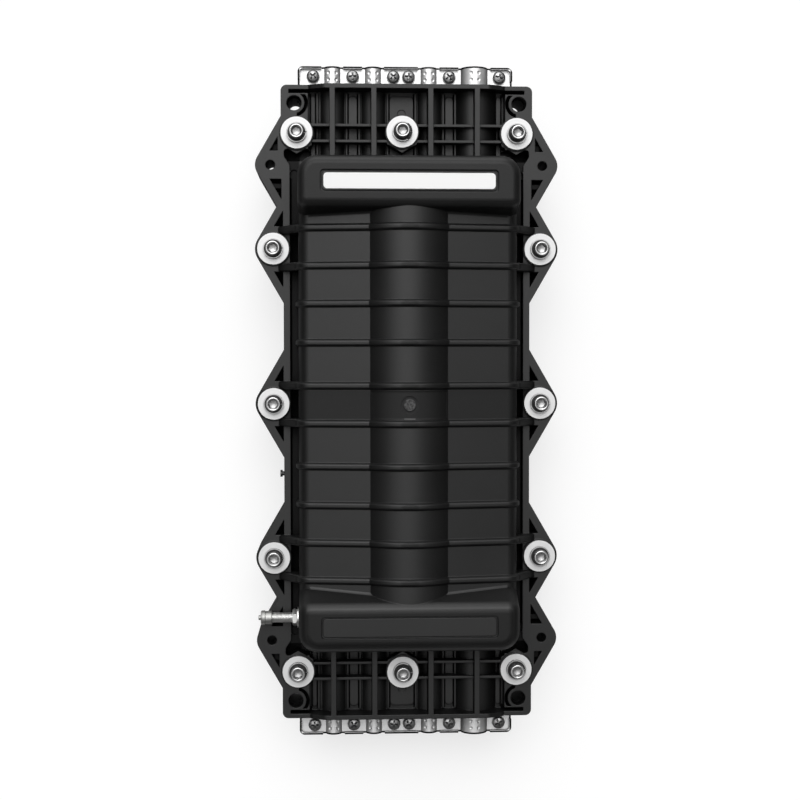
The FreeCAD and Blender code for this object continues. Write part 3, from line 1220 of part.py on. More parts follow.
def assembly():
    """Every node and its solids, drawn about the parting plane."""
    half = half_shell()
    upper = clamp_strip(END_HALF_LENGTH + CLAMP_STANDOFF, True)
    lower = lower_strip()
    rear_screws = clamp_screws()
    bar = anchor_bar()
    seal_end = WALL + VALVE_SEAL_THICKNESS
    stem_fit = VALVE_STEM_R + RUN_CLEARANCE
    yokes = [image for x in PORT_X for image in mirrored_y(anchor_yoke(x))]
    label_z = HALF_HEIGHT - RECESS_DEPTH
    washer_top = BOSS_Z + WASHER_THICKNESS
    insert_top = -INSERT_SINK
    insert_low = insert_top - INSERT_LENGTH
    return {
        "cover_shell": [cover_shell(half)],
        "base_shell": [base_shell(half)],
        "gasket_left": [gasket_plan(-1, 0.0, 0.0)],
        "gasket_right": [gasket_plan(1, 0.0, 0.0)],
        "port_seal_strips": port_strips(0.0, 0.0),
        "cover_bolts": [bolt(x, y) for x, y in BOLTS],
        "bolt_washers": [tube(x, y, WASHER_D / 2, BOLT_HOLE_R, BOSS_Z, washer_top) for x, y in BOLTS],
        "spring_washers": [spring_washer(x, y) for x, y in BOLTS],
        "threaded_inserts": [tube(x, y, INSERT_D / 2, BOLT_D / 2 + RUN_CLEARANCE, insert_low, insert_top)
                             for x, y in BOLTS],
        "clamp_upper_rear": [upper],
        "clamp_upper_front": [upper.mirror(ORIGIN, ALONG)],
        "clamp_lower_rear": [lower],
        "clamp_lower_front": [lower.mirror(ORIGIN, ALONG)],
        "clamp_screws_rear": rear_screws,
        "clamp_screws_front": [screw.mirror(ORIGIN, ALONG) for screw in rear_screws],
        "clamp_seat_screws": seat_screws(),
        "tray_frame": [tray_frame()],
        "frame_screws": frame_screws(),
        "splice_tray_lower": [splice_tray(0)],
        "splice_tray_upper": [splice_tray(1)],
        "tray_hinge_pins": hinge_pins(),
        "tray_lid": [tray_lid()],
        "anchor_bar_rear": [bar],
        "anchor_bar_front": [bar.mirror(ORIGIN, ALONG)],
        "anchor_yokes": yokes,
        "anchor_screws": anchor_screws(),
        "valve_stem": [valve_stem()],
        "valve_seal": [valve_ring(WALL, seal_end, VALVE_SEAL_R, stem_fit)],
        "valve_washer": [valve_ring(-VALVE_WASHER_THICKNESS, 0.0, VALVE_WASHER_R, stem_fit)],
        "valve_nut": [valve_nut()],
        "valve_core": [valve_pin()],
        "valve_cap": [valve_cap()],
        "side_screw": [side_screw()],
        "label": [recess(RECESS_Y, LABEL_MARGIN, label_z, label_z + LABEL_THICKNESS)],
    }


os.makedirs("parts", exist_ok=True)
for node, solids in assembly().items():
    Part.makeCompound([lifted(solid) for solid in solids]).exportStep("parts/" + node + ".step")
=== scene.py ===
"""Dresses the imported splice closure: finishes for all nodes, finer screws and valve parts."""
import logging
import math
from dataclasses import dataclass, replace
from enum import Enum
from typing import Any, Sequence

import bmesh
import bpy
from mathutils import Matrix, Vector


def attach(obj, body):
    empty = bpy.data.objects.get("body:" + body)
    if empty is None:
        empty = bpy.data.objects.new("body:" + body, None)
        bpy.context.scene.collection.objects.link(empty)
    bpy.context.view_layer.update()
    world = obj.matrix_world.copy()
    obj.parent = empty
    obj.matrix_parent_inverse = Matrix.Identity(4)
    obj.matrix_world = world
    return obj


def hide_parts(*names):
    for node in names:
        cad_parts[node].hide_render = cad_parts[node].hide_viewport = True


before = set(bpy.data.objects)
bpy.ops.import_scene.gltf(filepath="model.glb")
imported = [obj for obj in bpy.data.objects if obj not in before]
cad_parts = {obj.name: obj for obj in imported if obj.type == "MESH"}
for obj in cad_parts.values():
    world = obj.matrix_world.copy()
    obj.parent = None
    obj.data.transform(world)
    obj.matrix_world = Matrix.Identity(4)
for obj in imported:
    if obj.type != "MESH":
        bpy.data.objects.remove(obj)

LOG = logging.getLogger("closure")
MM = 0.001  # Lengths are in millimetres, unless a docstring says metres.
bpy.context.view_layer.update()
Colour = tuple[float, float, float, float]
Span = tuple[float, float]
Verts = list[bmesh.types.BMVert]
Edges = list[bmesh.types.BMEdge]
Settings = dict[str, Any] | None
Sockets = dict[Any, Any] | None
BEVEL_SAMPLES = 6
OCCLUSION_SAMPLES = 8
STANDING: Span = (0.35, 0.85)
SHARP_ANGLE = 34.0
WELD_DISTANCE = 1e-4
KNURL_ROOT = 0.955
THREAD_CREST = 0.15
THREAD_ROOT_AT = 0.55


class Grain(Enum):
    """Which way the marks of a metal finish run, as their fineness by axis."""

    ALONG_X = (72.0, 1920.0, 1920.0)
    ALONG_Y = (1920.0, 72.0, 1920.0)
    TUMBLED = (1080.0, 1080.0, 1080.0)


class Edge(Enum):
    """Outline of one ring of a turned shape."""

    ROUND = "round"
    HEXAGON = "hexagon"
    KNURL = "knurl"


@dataclass(frozen=True)
class Noise:
    """How fine, how detailed and how rough a noise is, and how it is stretched by axis."""

    scale: float
    detail: float
    roughness: float
    stretch: tuple[float, ...] = ()


class Shade:
    """One shader socket that takes part in Python arithmetic."""

    def __init__(self, tree: "ShaderTree", socket: bpy.types.NodeSocket) -> None:
        """Keeps the socket and the tree it belongs to."""
        self.tree = tree
        self.socket = socket

    def math(self, operation: str, first: Any, second: Any = 0.0) -> "Shade":
        """Adds one Math node."""
        return self.tree.node("ShaderNodeMath", {"operation": operation}, {0: first, 1: second})

    def __add__(self, other: Any) -> "Shade":
        """Sum."""
        return self.math("ADD", self, other)

    def __radd__(self, other: Any) -> "Shade":
        """Sum with a number on the left."""
        return self.math("ADD", other, self)

    def __sub__(self, other: Any) -> "Shade":
        """Difference."""
        return self.math("SUBTRACT", self, other)

    def __rsub__(self, other: Any) -> "Shade":
        """Difference from a number on the left."""
        return self.math("SUBTRACT", other, self)

    def __mul__(self, other: Any) -> "Shade":
        """Product."""
        return self.math("MULTIPLY", self, other)

    def __rmul__(self, other: Any) -> "Shade":
        """Product with a number on the left."""
        return self.math("MULTIPLY", other, self)

    def __neg__(self) -> "Shade":
        """Same size with the other sign."""
        return self.math("MULTIPLY", self, -1.0)

    def __abs__(self) -> "Shade":
        """Size without sign."""
        return self.math("ABSOLUTE", self)

    def root(self) -> "Shade":
        """Square root."""
        return self.math("SQRT", self)

    def least(self, other: Any) -> "Shade":
        """Smaller of two values."""
        return self.math("MINIMUM", self, other)

    def most(self, other: Any) -> "Shade":
        """Larger of two values."""
        return self.math("MAXIMUM", self, other)

    def rise(self, low: float, high: float) -> "Shade":
        """Smooth step from 0 at low to 1 at high."""
        sockets = {0: self, 1: low, 2: high, 3: 0.0, 4: 1.0}
        return self.tree.node("ShaderNodeMapRange", {"interpolation_type": "SMOOTHSTEP"}, sockets)

    def past(self, span: Span) -> "Shade":
        """Smooth step over a span in millimetres."""
        return self.rise(span[0] * MM, span[1] * MM)

    def swing(self, size: float) -> "Shade":
        """Value between 0 and 1, made to swing about zero by a size."""
        return (self - 0.5) * size


class ShaderTree:
    """Node tree of a material or of the world, built from expressions."""

    def __init__(self, owner: bpy.types.Material | bpy.types.World) -> None:
        """Clears the owner's tree.

        Args:
            owner: Material or world to write into.
        """
        owner.use_nodes = True
        self.owner = owner
        self.nodes = owner.node_tree.nodes
        self.links = owner.node_tree.links
        self.nodes.clear()

    def add(self, kind: str, settings: Settings = None, sockets: Sockets = None) -> bpy.types.Node:
        """Adds a node of any kind.

        Args:
            kind: Blender's name of the node type.
            settings: Attributes, such as an operation, that are set first.
            sockets: Values or links of the inputs, by name or number.

        Returns:
            The node.
        """
        made = self.nodes.new(kind)
        for key, value in (settings or {}).items():
            setattr(made, key, value)
        for key, value in (sockets or {}).items():
            if isinstance(value, Shade):
                self.links.new(value.socket, made.inputs[key])
            else:
                made.inputs[key].default_value = value
        return made

    def node(
        self, kind: str, settings: Settings = None, sockets: Sockets = None, output: Any = 0
    ) -> Shade:
        """Adds a node and hands back the output of a name or number."""
        return Shade(self, self.add(kind, settings, sockets).outputs[output])

    def axis(self, vector: Shade, name: str) -> Shade:
        """One component of a vector."""
        return self.node("ShaderNodeSeparateXYZ", {}, {0: vector}, name)

    def noise(self, place: Shade, look: Noise) -> Shade:
        """Noise between 0 and 1.

        Args:
            place: Coordinates that it is laid over.
            look: What it is like.

        Returns:
            The value.
        """
        if look.stretch:
            place = self.node("ShaderNodeMapping", {}, {"Vector": place, "Scale": look.stretch})
        sockets = {"Scale": look.scale, "Detail": look.detail, "Roughness": look.roughness}
        return self.node("ShaderNodeTexNoise", {}, {"Vector": place, **sockets})

    def mix(self, factor: Any, first: Any, second: Any) -> Shade:
        """Colour between two colours."""
        sockets = {0: factor, 6: first, 7: second}
        return self.node("ShaderNodeMix", {"data_type": "RGBA"}, sockets, 2)

    def rounded(self, radius: float) -> Shade:
        """Normal with edges softened by a small radius, in millimetres."""
        return self.node("ShaderNodeBevel", {"samples": BEVEL_SAMPLES}, {"Radius": radius * MM})

    def edge(self, soft: Shade, reach: float) -> Shade:
        """Mask of the edges that a softened normal rounds over.

        Args:
            soft: The softened normal.
            reach: How far it has to lean, as 1 less the cosine, to count in full.

        Returns:
            A value between 0 and 1.
        """
        flat = self.node("ShaderNodeNewGeometry", output="Normal")
        both = {0: soft, 1: flat}
        dot = self.node("ShaderNodeVectorMath", {"operation": "DOT_PRODUCT"}, both, "Value")
        return (1.0 - dot).rise(0.0, reach)

    def facing(self, axis: str) -> Shade:
        """How far a face looks along an axis, by the object's own normal."""
        return abs(self.axis(self.node("ShaderNodeTexCoord", output="Normal"), axis))

    def upright(self) -> Shade:
        """Mask of the faces that stand up."""
        return 1.0 - self.facing("Z").rise(*STANDING)

    def open_air(self, reach: float) -> Shade:
        """How much open air a face sees within a reach in millimetres."""
        settings = {"samples": OCCLUSION_SAMPLES}
        return self.node("ShaderNodeAmbientOcclusion", settings, {"Distance": reach * MM}, "AO")

    def bump(
        self, height: Shade, depth: float, strength: float, normal: Shade | None = None
    ) -> Shade:
        """Normal disturbed by a height.

        Args:
            height: The height, as a value.
            depth: What a height of 1 stands for, in millimetres.
            strength: Share of the relief that shows.
            normal: Normal to start from, where it isn't the face's own.

        Returns:
            The new normal.
        """
        sockets = {"Height": height, "Distance": depth * MM, "Strength": strength}
        if normal is not None:
            sockets["Normal"] = normal
        return self.node("ShaderNodeBump", {}, sockets)

    def principled(self, **sockets: Any) -> Shade:
        """Principled shader; its inputs are named with underscores for spaces."""
        named = {key.replace("_", " "): value for key, value in sockets.items()}
        return self.node("ShaderNodeBsdfPrincipled", {}, named)

    def blend(self, factor: Shade, first: Shade, second: Shade) -> Shade:
        """Shader between two shaders."""
        return self.node("ShaderNodeMixShader", {}, {0: factor, 1: first, 2: second})

    def close(
        self, shader: Shade, kind: str = "ShaderNodeOutputMaterial"
    ) -> bpy.types.Material | bpy.types.World:
        """Joins a shader to the output and hands the finished owner back."""
        self.add(kind, {}, {0: shader})
        return self.owner

    def surface(self, **sockets: Any) -> bpy.types.Material:
        """Closes the tree with one Principled shader."""
        return self.close(self.principled(**sockets))


class FinishTree(ShaderTree):
    """Tree of a new material, with the object coordinates at hand, in metres."""

    def __init__(self, name: str) -> None:
        """Makes the material."""
        super().__init__(bpy.data.materials.new(name))
        self.place = self.node("ShaderNodeTexCoord", output="Object")

    def at(self, axis: str) -> Shade:
        """Object coordinate along an axis."""
        return self.axis(self.place, axis)

    def texture(self, look: Noise) -> Shade:
        """Noise over the object."""
        return self.noise(self.place, look)


def grey(value: float) -> Colour:
    """Neutral colour of one brightness."""
    return (value, value, value, 1.0)


@dataclass
class Skin:
    """Colour, roughness and height of a surface while marks are laid on it."""

    colour: Shade
    rough: Shade
    height: Shade


@dataclass(frozen=True)
class GateMark:
    """Torn stub of the moulding gate in the middle and a tick beside it; the bay round both is
    rougher and darkened with painted shade.
    """

    stub_radius: Span = (3.6, 4.3)
    torn: Colour = grey(0.12)
    torn_dulling: float = 0.2
    crumb: Noise = Noise(520.0, 4.0, 0.65)
    crumb_edge: Span = (0.38, 0.62)
    crumb_share: Span = (0.25, 0.75)
    crumb_height: float = 12.0
    tick_y: float = -9.0
    tick_half_length: Span = (3.4, 3.9)
    tick_half_width: Span = (0.25, 0.55)
    tick_share: float = 0.8
    bay_half_width: Span = (8.8, 10.2)
    bay_dulling_and_shade: float = 0.22

    def lay(self, t: FinishTree, skin: Skin) -> Shade:
        """Lays the marks on a skin.

        Args:
            t: Tree to build in.
            skin: Skin that takes the marks.

        Returns:
            Painted shade in the bay, as the share of the polish that gives way to the dark shader;
            the same value roughens the bay.
        """
        x = t.at("X")
        y = t.at("Y")
        torn = 1.0 - (x * x + y * y).root().past(self.stub_radius)
        crumb = t.texture(self.crumb)
        plain, spotted = self.crumb_share
        length = 1.0 - abs(x).past(self.tick_half_length)
        width = 1.0 - abs(y - self.tick_y * MM).past(self.tick_half_width)
        # Painted shade between the middle ribs, which also roughens the bay.
        dull_and_shade = (1.0 - abs(y).past(self.bay_half_width)) * self.bay_dulling_and_shade
        stub = torn * (plain + spotted * crumb.rise(*self.crumb_edge))
        skin.height = skin.height + torn * crumb * self.crumb_height
        skin.colour = t.mix(stub, skin.colour, self.torn)
        skin.colour = t.mix(length * width * self.tick_share, skin.colour, self.torn)
        skin.rough = skin.rough + torn * self.torn_dulling + dull_and_shade
        return dull_and_shade


@dataclass(frozen=True)
class PaintedShade:
    """Painted shade: a dark matte black takes the place of the polished skin in hollows, on
    upright and sideways walls and in the side gutters; it also darkens the flat box tops.

    Heights run both ways from the parting plane.
    """

    reach: float = 18.0
    parting_z: float = 56.0
    # Colours of the painted shade.
    dark: Colour = grey(0.0015)
    light: Colour = grey(0.003)
    roughness: float = 0.8
    specular: float = 0.08
    open_air: Span = (0.1, 0.38)
    upright_shade_share: float = 0.45
    sideways: Span = (0.28, 0.7)
    sideways_shade_share: float = 0.62
    panel_height: Span = (55.3, 55.7)
    panel_darkening: float = 0.4
    gutter_x: Span = (71.2, 72.6)
    gutter_height: Span = (17.2, 18.4)
    gutter_shade_share: float = 0.8

    def unshaded_share(self, t: FinishTree) -> Shade:
        """Share of the polished skin that the painted shade leaves.

        Args:
            t: Tree to build in.

        Returns:
            A value between 0 and 1.
        """
        height = abs(t.at("Z") - self.parting_z * MM)
        panel = height.past(self.panel_height)
        beside = abs(t.at("X")).past(self.gutter_x)
        gutter = beside * (1.0 - height.past(self.gutter_height))
        sideways = t.facing("X").rise(*self.sideways)
        # Painted shade: in hollows that see little open air, on upright and sideways walls and in
        # the side gutters; the flat box tops are darkened too.
        wall = (t.upright() * self.upright_shade_share).most(sideways * self.sideways_shade_share)
        share = t.open_air(self.reach).rise(*self.open_air) * (1.0 - wall)
        return share * (1.0 - self.panel_darkening * panel) * (1.0 - self.gutter_shade_share * gutter)

    def shader(self, t: FinishTree, fleck: Shade) -> Shade:
        """Shader of the painted shade: a dark matte black with the plastic's flecks."""
        colour = t.mix(fleck, self.dark, self.light)
        return t.principled(
            Base_Color=colour, Roughness=self.roughness, Specular_IOR_Level=self.specular
        )


@dataclass(frozen=True)
class MouldedPlastic:
    """Moulded plastic with grain, mottling and edges lighter as wear and painted highlight,
    perhaps a gate mark and painted shade.
    """

    name: str
    dark: Colour
    light: Colour
    worn_highlight: Colour
    roughness: float
    specular: float
    grain: Noise = Noise(2400.0, 2.0, 0.5)
    grain_depth: float = 0.06
    grain_strength: float = 0.35
    cloud: Noise = Noise(18.0, 3.0, 0.55)
    cloud_edge: Span = (0.3, 0.7)
    cloud_swing: float = 0.12
    fleck: Noise = Noise(480.0, 3.0, 0.6)
    fleck_swing: float = 0.08
    drawn: Noise = Noise(1.0, 2.0, 0.6, (900.0, 60.0, 900.0))
    drawn_swing: float = 0.05
    edge_radius: float = 0.5
    edge_reach: float = 0.22
    worn_highlight_share: Span = (0.35, 0.5)
    edge_polish: float = 0.06
    gate: GateMark | None = None
    painted_shade: PaintedShade | None = None

    def skin(self, t: FinishTree, fleck: Shade, soft: Shade) -> Skin:
        """Skin of the plastic before any marks.

        Args:
            t: Tree to build in.
            fleck: Fine noise of the plastic.
            soft: Normal with softened edges.

        Returns:
            The skin.
        """
        cloud = t.texture(self.cloud)
        drawn = t.texture(self.drawn)
        edge = t.edge(soft, self.edge_reach)
        plain, flecked = self.worn_highlight_share
        colour = t.mix(cloud.rise(*self.cloud_edge), self.dark, self.light)
        # Edges lighter, as wear and as a painted highlight.
        colour = t.mix(edge * (plain + flecked * fleck), colour, self.worn_highlight)
        rough = self.roughness + cloud.swing(self.cloud_swing) + fleck.swing(self.fleck_swing)
        rough = rough + drawn.swing(self.drawn_swing) - edge * self.edge_polish
        return Skin(colour, rough, t.texture(self.grain))

    def material(self) -> bpy.types.Material:
        """Builds the material.

        Returns:
            The material.
        """
        t = FinishTree(self.name)
        fleck = t.texture(self.fleck)
        soft = t.rounded(self.edge_radius)
        skin = self.skin(t, fleck, soft)
        bay_shade = self.gate.lay(t, skin) if self.gate else 0.0
        polished = t.principled(
            Base_Color=skin.colour,
            Roughness=skin.rough,
            Normal=t.bump(skin.height, self.grain_depth, self.grain_strength, soft),
            Specular_IOR_Level=self.specular,
        )
        if self.painted_shade is None:
            return t.close(polished)
        # Painted shade: blends the polished skin towards the dark matte black.
        share = self.painted_shade.unshaded_share(t) * (1.0 - bay_shade)
        return t.close(t.blend(share, self.painted_shade.shader(t, fleck), polished))


@dataclass(frozen=True)
class MetalShade:
    """Painted shade on a metal: the share and tone that a mask lays on, and how far it roughens.
    """

    share: float
    tone: Colour
    dulling: float


# Painted shade on the upright sides of screw heads, washers and clamp strips.
SIDE_SHADE = MetalShade(1.0, grey(0.06), 0.15)
# Painted shade, with some roughening, on the knurled head side and in the socket of the cap
# screws.
LOW_SHADE = MetalShade(0.35, grey(0.05), 0.12)
# Painted shadow on the spring washers in a ring round each screw head.
RING_SHADOW = MetalShade(0.9, grey(0.015), 0.2)
# Painted shade on the bent lips of the clamp strips.
LIP_SHADE = MetalShade(1.0, grey(0.02), 0.3)


@dataclass(frozen=True)
class Lips:
    """Where the bent lips of a strip begin, from the part's middle to its ends and sides."""

    ends: Span
    left: Span
    right: Span

    def mask(self, t: FinishTree) -> Shade:
        """Mask of the lips, which take painted shade.

        Args:
            t: Tree to build in.

        Returns:
            A value between 0 and 1.
        """
        x = t.at("X")
        ends = abs(t.at("Y")).past(self.ends)
        return ends.most(x.past(self.right)).most((-x).past(self.left))


@dataclass(frozen=True)
class Steel:
    """Bare or plated metal with drawn, turned or tumbled marks, and painted shade where its masks
    lay it.
    """

    name: str
    colour: Colour
    shadowed: Colour
    roughness: float
    grain: Grain
    centres: tuple[Span, ...] = ()
    edge_radius: float = 0.25
    marks: Noise = Noise(1.0, 3.0, 0.6)
    marks_share: float = 0.6
    marks_swing: float = 0.16
    marks_depth: float = 0.02
    marks_strength: float = 0.4
    ring_pitch: float = 4200.0
    ring_climb: float = 900.0
    cloud: Noise = Noise(260.0, 3.0, 0.6)
    cloud_share: float = 0.4
    cloud_swing: float = 0.14
    tone_edge: Span = (0.25, 0.75)
    side_shade: float = 0.0
    shade_below: Span | None = None
    shadow_within: Span | None = None
    lips: Lips | None = None

    def radius(self, t: FinishTree) -> Shade:
        """Distance from the nearest centre.

        Args:
            t: Tree to build in.

        Returns:
            The distance, in metres.
        """
        x = abs(t.at("X"))
        y = abs(t.at("Y"))
        nearest = None
        for cx, cy in self.centres:
            dx = x - cx * MM
            dy = y - cy * MM
            away = dx * dx + dy * dy
            nearest = away if nearest is None else nearest.least(away)
        return nearest.root()

    def worked(self, t: FinishTree) -> Shade:
        """Fine machining marks: rings about the nearest centre, or lines along the grain.

        Args:
            t: Tree to build in.

        Returns:
            A value between 0 and 1.
        """
        if not self.centres:
            return t.texture(replace(self.marks, stretch=self.grain.value))
        out = self.radius(t) * self.ring_pitch
        up = t.at("Z") * self.ring_climb
        return t.noise(t.node("ShaderNodeCombineXYZ", {}, {0: out, 1: up}), self.marks)

    def shade_marks(self, t: FinishTree) -> list[tuple[Shade, MetalShade]]:
        """Painted shade that this metal has.

        Args:
            t: Tree to build in.

        Returns:
            The mask of each zone, with what it does.
        """
        made = []
        # Painted shade on upright faces.
        if self.side_shade:
            made.append((t.upright(), replace(SIDE_SHADE, share=self.side_shade)))
        # Painted shade below a height: the cap screws' head sides and sockets.
        if self.shade_below:
            made.append((1.0 - t.at("Z").past(self.shade_below), LOW_SHADE))
        # Painted shadow close to each centre, round the screw heads.
        if self.shadow_within:
            made.append((1.0 - self.radius(t).past(self.shadow_within), RING_SHADOW))
        # Painted shade on the bent lips.
        if self.lips:
            made.append((self.lips.mask(t), LIP_SHADE))
        return made

    def material(self) -> bpy.types.Material:
        """Builds the material.

        Returns:
            The material.
        """
        t = FinishTree(self.name)
        marks = self.worked(t)
        cloud = t.texture(self.cloud)
        tone = (marks * self.marks_share + cloud * self.cloud_share).rise(*self.tone_edge)
        colour = t.mix(tone, self.shadowed, self.colour)
        rough = self.roughness + marks.swing(self.marks_swing) + cloud.swing(self.cloud_swing)
        for mask, metal_shade in self.shade_marks(t):
            colour = t.mix(mask * metal_shade.share, colour, metal_shade.tone)
            rough = rough + mask * metal_shade.dulling
        soft = t.rounded(self.edge_radius)
        normal = t.bump(marks, self.marks_depth, self.marks_strength, soft)
        return t.surface(Base_Color=colour, Metallic=1.0, Roughness=rough, Normal=normal)


@dataclass(frozen=True)
class SealRubber:
    """Soft black seal rubber with a dull bloom."""

    name: str = "seal_rubber_bloom"
    dark: Colour = grey(0.012)
    light: Colour = grey(0.03)
    bloom: Noise = Noise(90.0, 4.0, 0.6)
    bloom_edge: Span = (0.35, 0.75)
    bloom_swing: float = 0.2
    grain: Noise = Noise(1800.0, 2.0, 0.5)
    grain_depth: float = 0.05
    grain_strength: float = 0.4
    roughness: float = 0.7

    def material(self) -> bpy.types.Material:
        """Builds the material.

        Returns:
            The material.
        """
        t = FinishTree(self.name)
        bloom = t.texture(self.bloom)
        return t.surface(
            Base_Color=t.mix(bloom.rise(*self.bloom_edge), self.dark, self.light),
            Roughness=self.roughness + bloom.swing(self.bloom_swing),
            Normal=t.bump(t.texture(self.grain), self.grain_depth, self.grain_strength),
        )


@dataclass(frozen=True)
class ClearLid:
    """Clear lid with faint swirls and fine handling marks."""

    name: str = "tray_lid_clear"
    dark: Colour = (0.74, 0.8, 0.82, 1.0)
    light: Colour = (0.84, 0.88, 0.89, 1.0)
    swirl: Noise = Noise(35.0, 3.0, 0.55)
    swirl_depth: float = 0.15
    swirl_strength: float = 0.15
    scratch: Noise = Noise(1.0, 2.0, 0.5, (40.0, 1500.0, 40.0))
    scratch_edge: Span = (0.6, 0.85)
    scratch_dulling: float = 0.18
    roughness: float = 0.07
    alpha: float = 0.3
    alpha_gain: float = 0.08

    def material(self) -> bpy.types.Material:
        """Builds the material.

        Returns:
            The material.
        """
        t = FinishTree(self.name)
        swirl = t.texture(self.swirl)
        scratch = t.texture(self.scratch).rise(*self.scratch_edge)
        return t.surface(
            Base_Color=t.mix(swirl, self.dark, self.light),
            Roughness=self.roughness + scratch * self.scratch_dulling,
            Normal=t.bump(swirl, self.swirl_depth, self.swirl_strength),
            Alpha=self.alpha + swirl * self.alpha_gain,
        )


@dataclass(frozen=True)
class BlankLabel:
    """Coated white paper label, left blank."""

    name: str = "label_white"
    dark: Colour = (0.93, 0.93, 0.925, 1.0)
    light: Colour = (0.97, 0.97, 0.965, 1.0)
    fibre: Noise = Noise(1.0, 3.0, 0.6, (700.0, 1600.0, 700.0))
    fibre_share: float = 0.5
    fibre_swing: float = 0.1
    fibre_depth: float = 0.02
    fibre_strength: float = 0.25
    tone: Noise = Noise(30.0, 2.0, 0.5)
    tone_share: float = 0.5
    edge_radius: float = 0.2
    roughness: float = 0.42

    def material(self) -> bpy.types.Material:
        """Builds the material.

        Returns:
            The material.
        """
        t = FinishTree(self.name)
        fibre = t.texture(self.fibre)
        tone = fibre * self.fibre_share + t.texture(self.tone) * self.tone_share
        soft = t.rounded(self.edge_radius)
        return t.surface(
            Base_Color=t.mix(tone, self.dark, self.light),
            Roughness=self.roughness + fibre.swing(self.fibre_swing),
            Normal=t.bump(fibre, self.fibre_depth, self.fibre_strength, soft),
        )


RING_CENTRES = ((89.4, 0.0), (89.4, 103.4), (73.6, 180.4), (3.2, 181.4))
SHELL = MouldedPlastic(
    "shell_black", grey(0.0063), grey(0.0085), grey(0.009), 0.42, 0.44,
    edge_radius=0.7, gate=GateMark(), painted_shade=PaintedShade(),
)
TRAY = MouldedPlastic(
    "tray_pale_grey", (0.62, 0.63, 0.62, 1.0), (0.7, 0.71, 0.7, 1.0), (0.76, 0.77, 0.76, 1.0),
    0.5, 0.4, grain=Noise(1500.0, 2.0, 0.5), grain_depth=0.04,
)
BOLT_STEEL = Steel(
    "bolt_stainless", grey(0.66), grey(0.5), 0.28, Grain.TUMBLED, RING_CENTRES,
    side_shade=0.85, shade_below=(85.0, 85.5),
)
WASHER_STEEL = Steel(
    "washer_bright", grey(0.85), grey(0.72), 0.64, Grain.TUMBLED, RING_CENTRES,
    side_shade=0.7, ring_pitch=2600.0,
)
SPRING_STEEL = Steel(
    "spring_washer_dull", grey(0.5), grey(0.3), 0.4, Grain.TUMBLED, RING_CENTRES,
    side_shade=0.85, ring_pitch=1500.0, shadow_within=(5.85, 6.2),
)
CLAMP_STEEL = Steel(
    "clamp_sheet_bright", grey(0.88), grey(0.8), 0.56, Grain.ALONG_X, side_shade=0.75,
    lips=Lips(ends=(226.5, 226.8), left=(71.8, 72.1), right=(71.2, 71.5)),
)
SCREW_STEEL = Steel("screw_plated", grey(0.44), grey(0.26), 0.32, Grain.TUMBLED)
FRAME_STEEL = Steel(
    "frame_zinc", (0.62, 0.64, 0.65, 1.0), (0.48, 0.5, 0.52, 1.0), 0.36, Grain.ALONG_Y
)
VALVE_METAL = Steel(
    "valve_nickel", (0.78, 0.78, 0.77, 1.0), (0.66, 0.66, 0.65, 1.0), 0.36, Grain.ALONG_X
)
CAP_METAL = Steel(
    "valve_cap_knurled", (0.46, 0.46, 0.45, 1.0), (0.3, 0.3, 0.29, 1.0), 0.46, Grain.ALONG_X
)
DARK_STEEL = Steel("side_screw_dark", grey(0.12), grey(0.06), 0.45, Grain.TUMBLED)
BRASS = Steel(
    "insert_turned_brass", (0.78, 0.56, 0.26, 1.0), (0.58, 0.38, 0.16, 1.0), 0.28, Grain.TUMBLED
)


def dress(material: bpy.types.Material, *names: str) -> None:
    """Gives CAD nodes a finish.

    Args:
        material: The finish.
        names: Nodes that take it.
    """
    for name in names:
        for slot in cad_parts[name].material_slots:
            slot.material = material
        LOG.info("%s wears %s", name, material.name)


def finished_piece(
    bm: bmesh.types.BMesh,
    name: str,
    material: bpy.types.Material,
    body: str,
    slot: str,
    *nodes: str,
) -> None:
    """Turns a bmesh in millimetres into a piece that stands for CAD nodes.

    Args:
        bm: Mesh in millimetres, freed here.
        name: Name of the piece.
        material: Its finish.
        body: Body that it rides on.
        slot: Not used.
        nodes: CAD nodes that it replaces.
    """
    bmesh.ops.scale(bm, vec=Vector((MM, MM, MM)), verts=bm.verts)
    mesh = bpy.data.meshes.new(name)
    bm.to_mesh(mesh)
    bm.free()
    mesh.materials.append(material)
    mesh.shade_smooth()
    mesh.set_sharp_from_angle(angle=math.radians(SHARP_ANGLE))
    piece = bpy.data.objects.new(name, mesh)
    bpy.context.scene.collection.objects.link(piece)
    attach(piece, body)
    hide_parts(*nodes)
    LOG.info("%s: %d faces on %s", name, len(mesh.polygons), body)


@dataclass(frozen=True)
class Ring:
    """One level of a turned shape: an outline about Z at a height."""

    radius: float
    height: float
    edge: Edge = Edge.ROUND

    def point(self, angle: float, steps: int) -> Vector:
        """Point of the outline.

        Args:
            angle: Direction about Z.
            steps: Number of points round the outline.

        Returns:
            The point, in millimetres.
        """
        reach = self.radius
        if self.edge is Edge.HEXAGON:
            sixth = math.pi / 3
            reach = self.radius / math.cos((angle + sixth / 2) % sixth - sixth / 2)
        elif self.edge is Edge.KNURL and round(angle / math.tau * steps) % 2:
            reach = self.radius * KNURL_ROOT
        return Vector((reach * math.cos(angle), reach * math.sin(angle), self.height))

    def shape(self, verts: Verts, steps: int) -> None:
        """Moves a loop of vertices on to the outline."""
        for vert in verts:
            vert.co = self.point(math.atan2(vert.co.y, vert.co.x), steps)


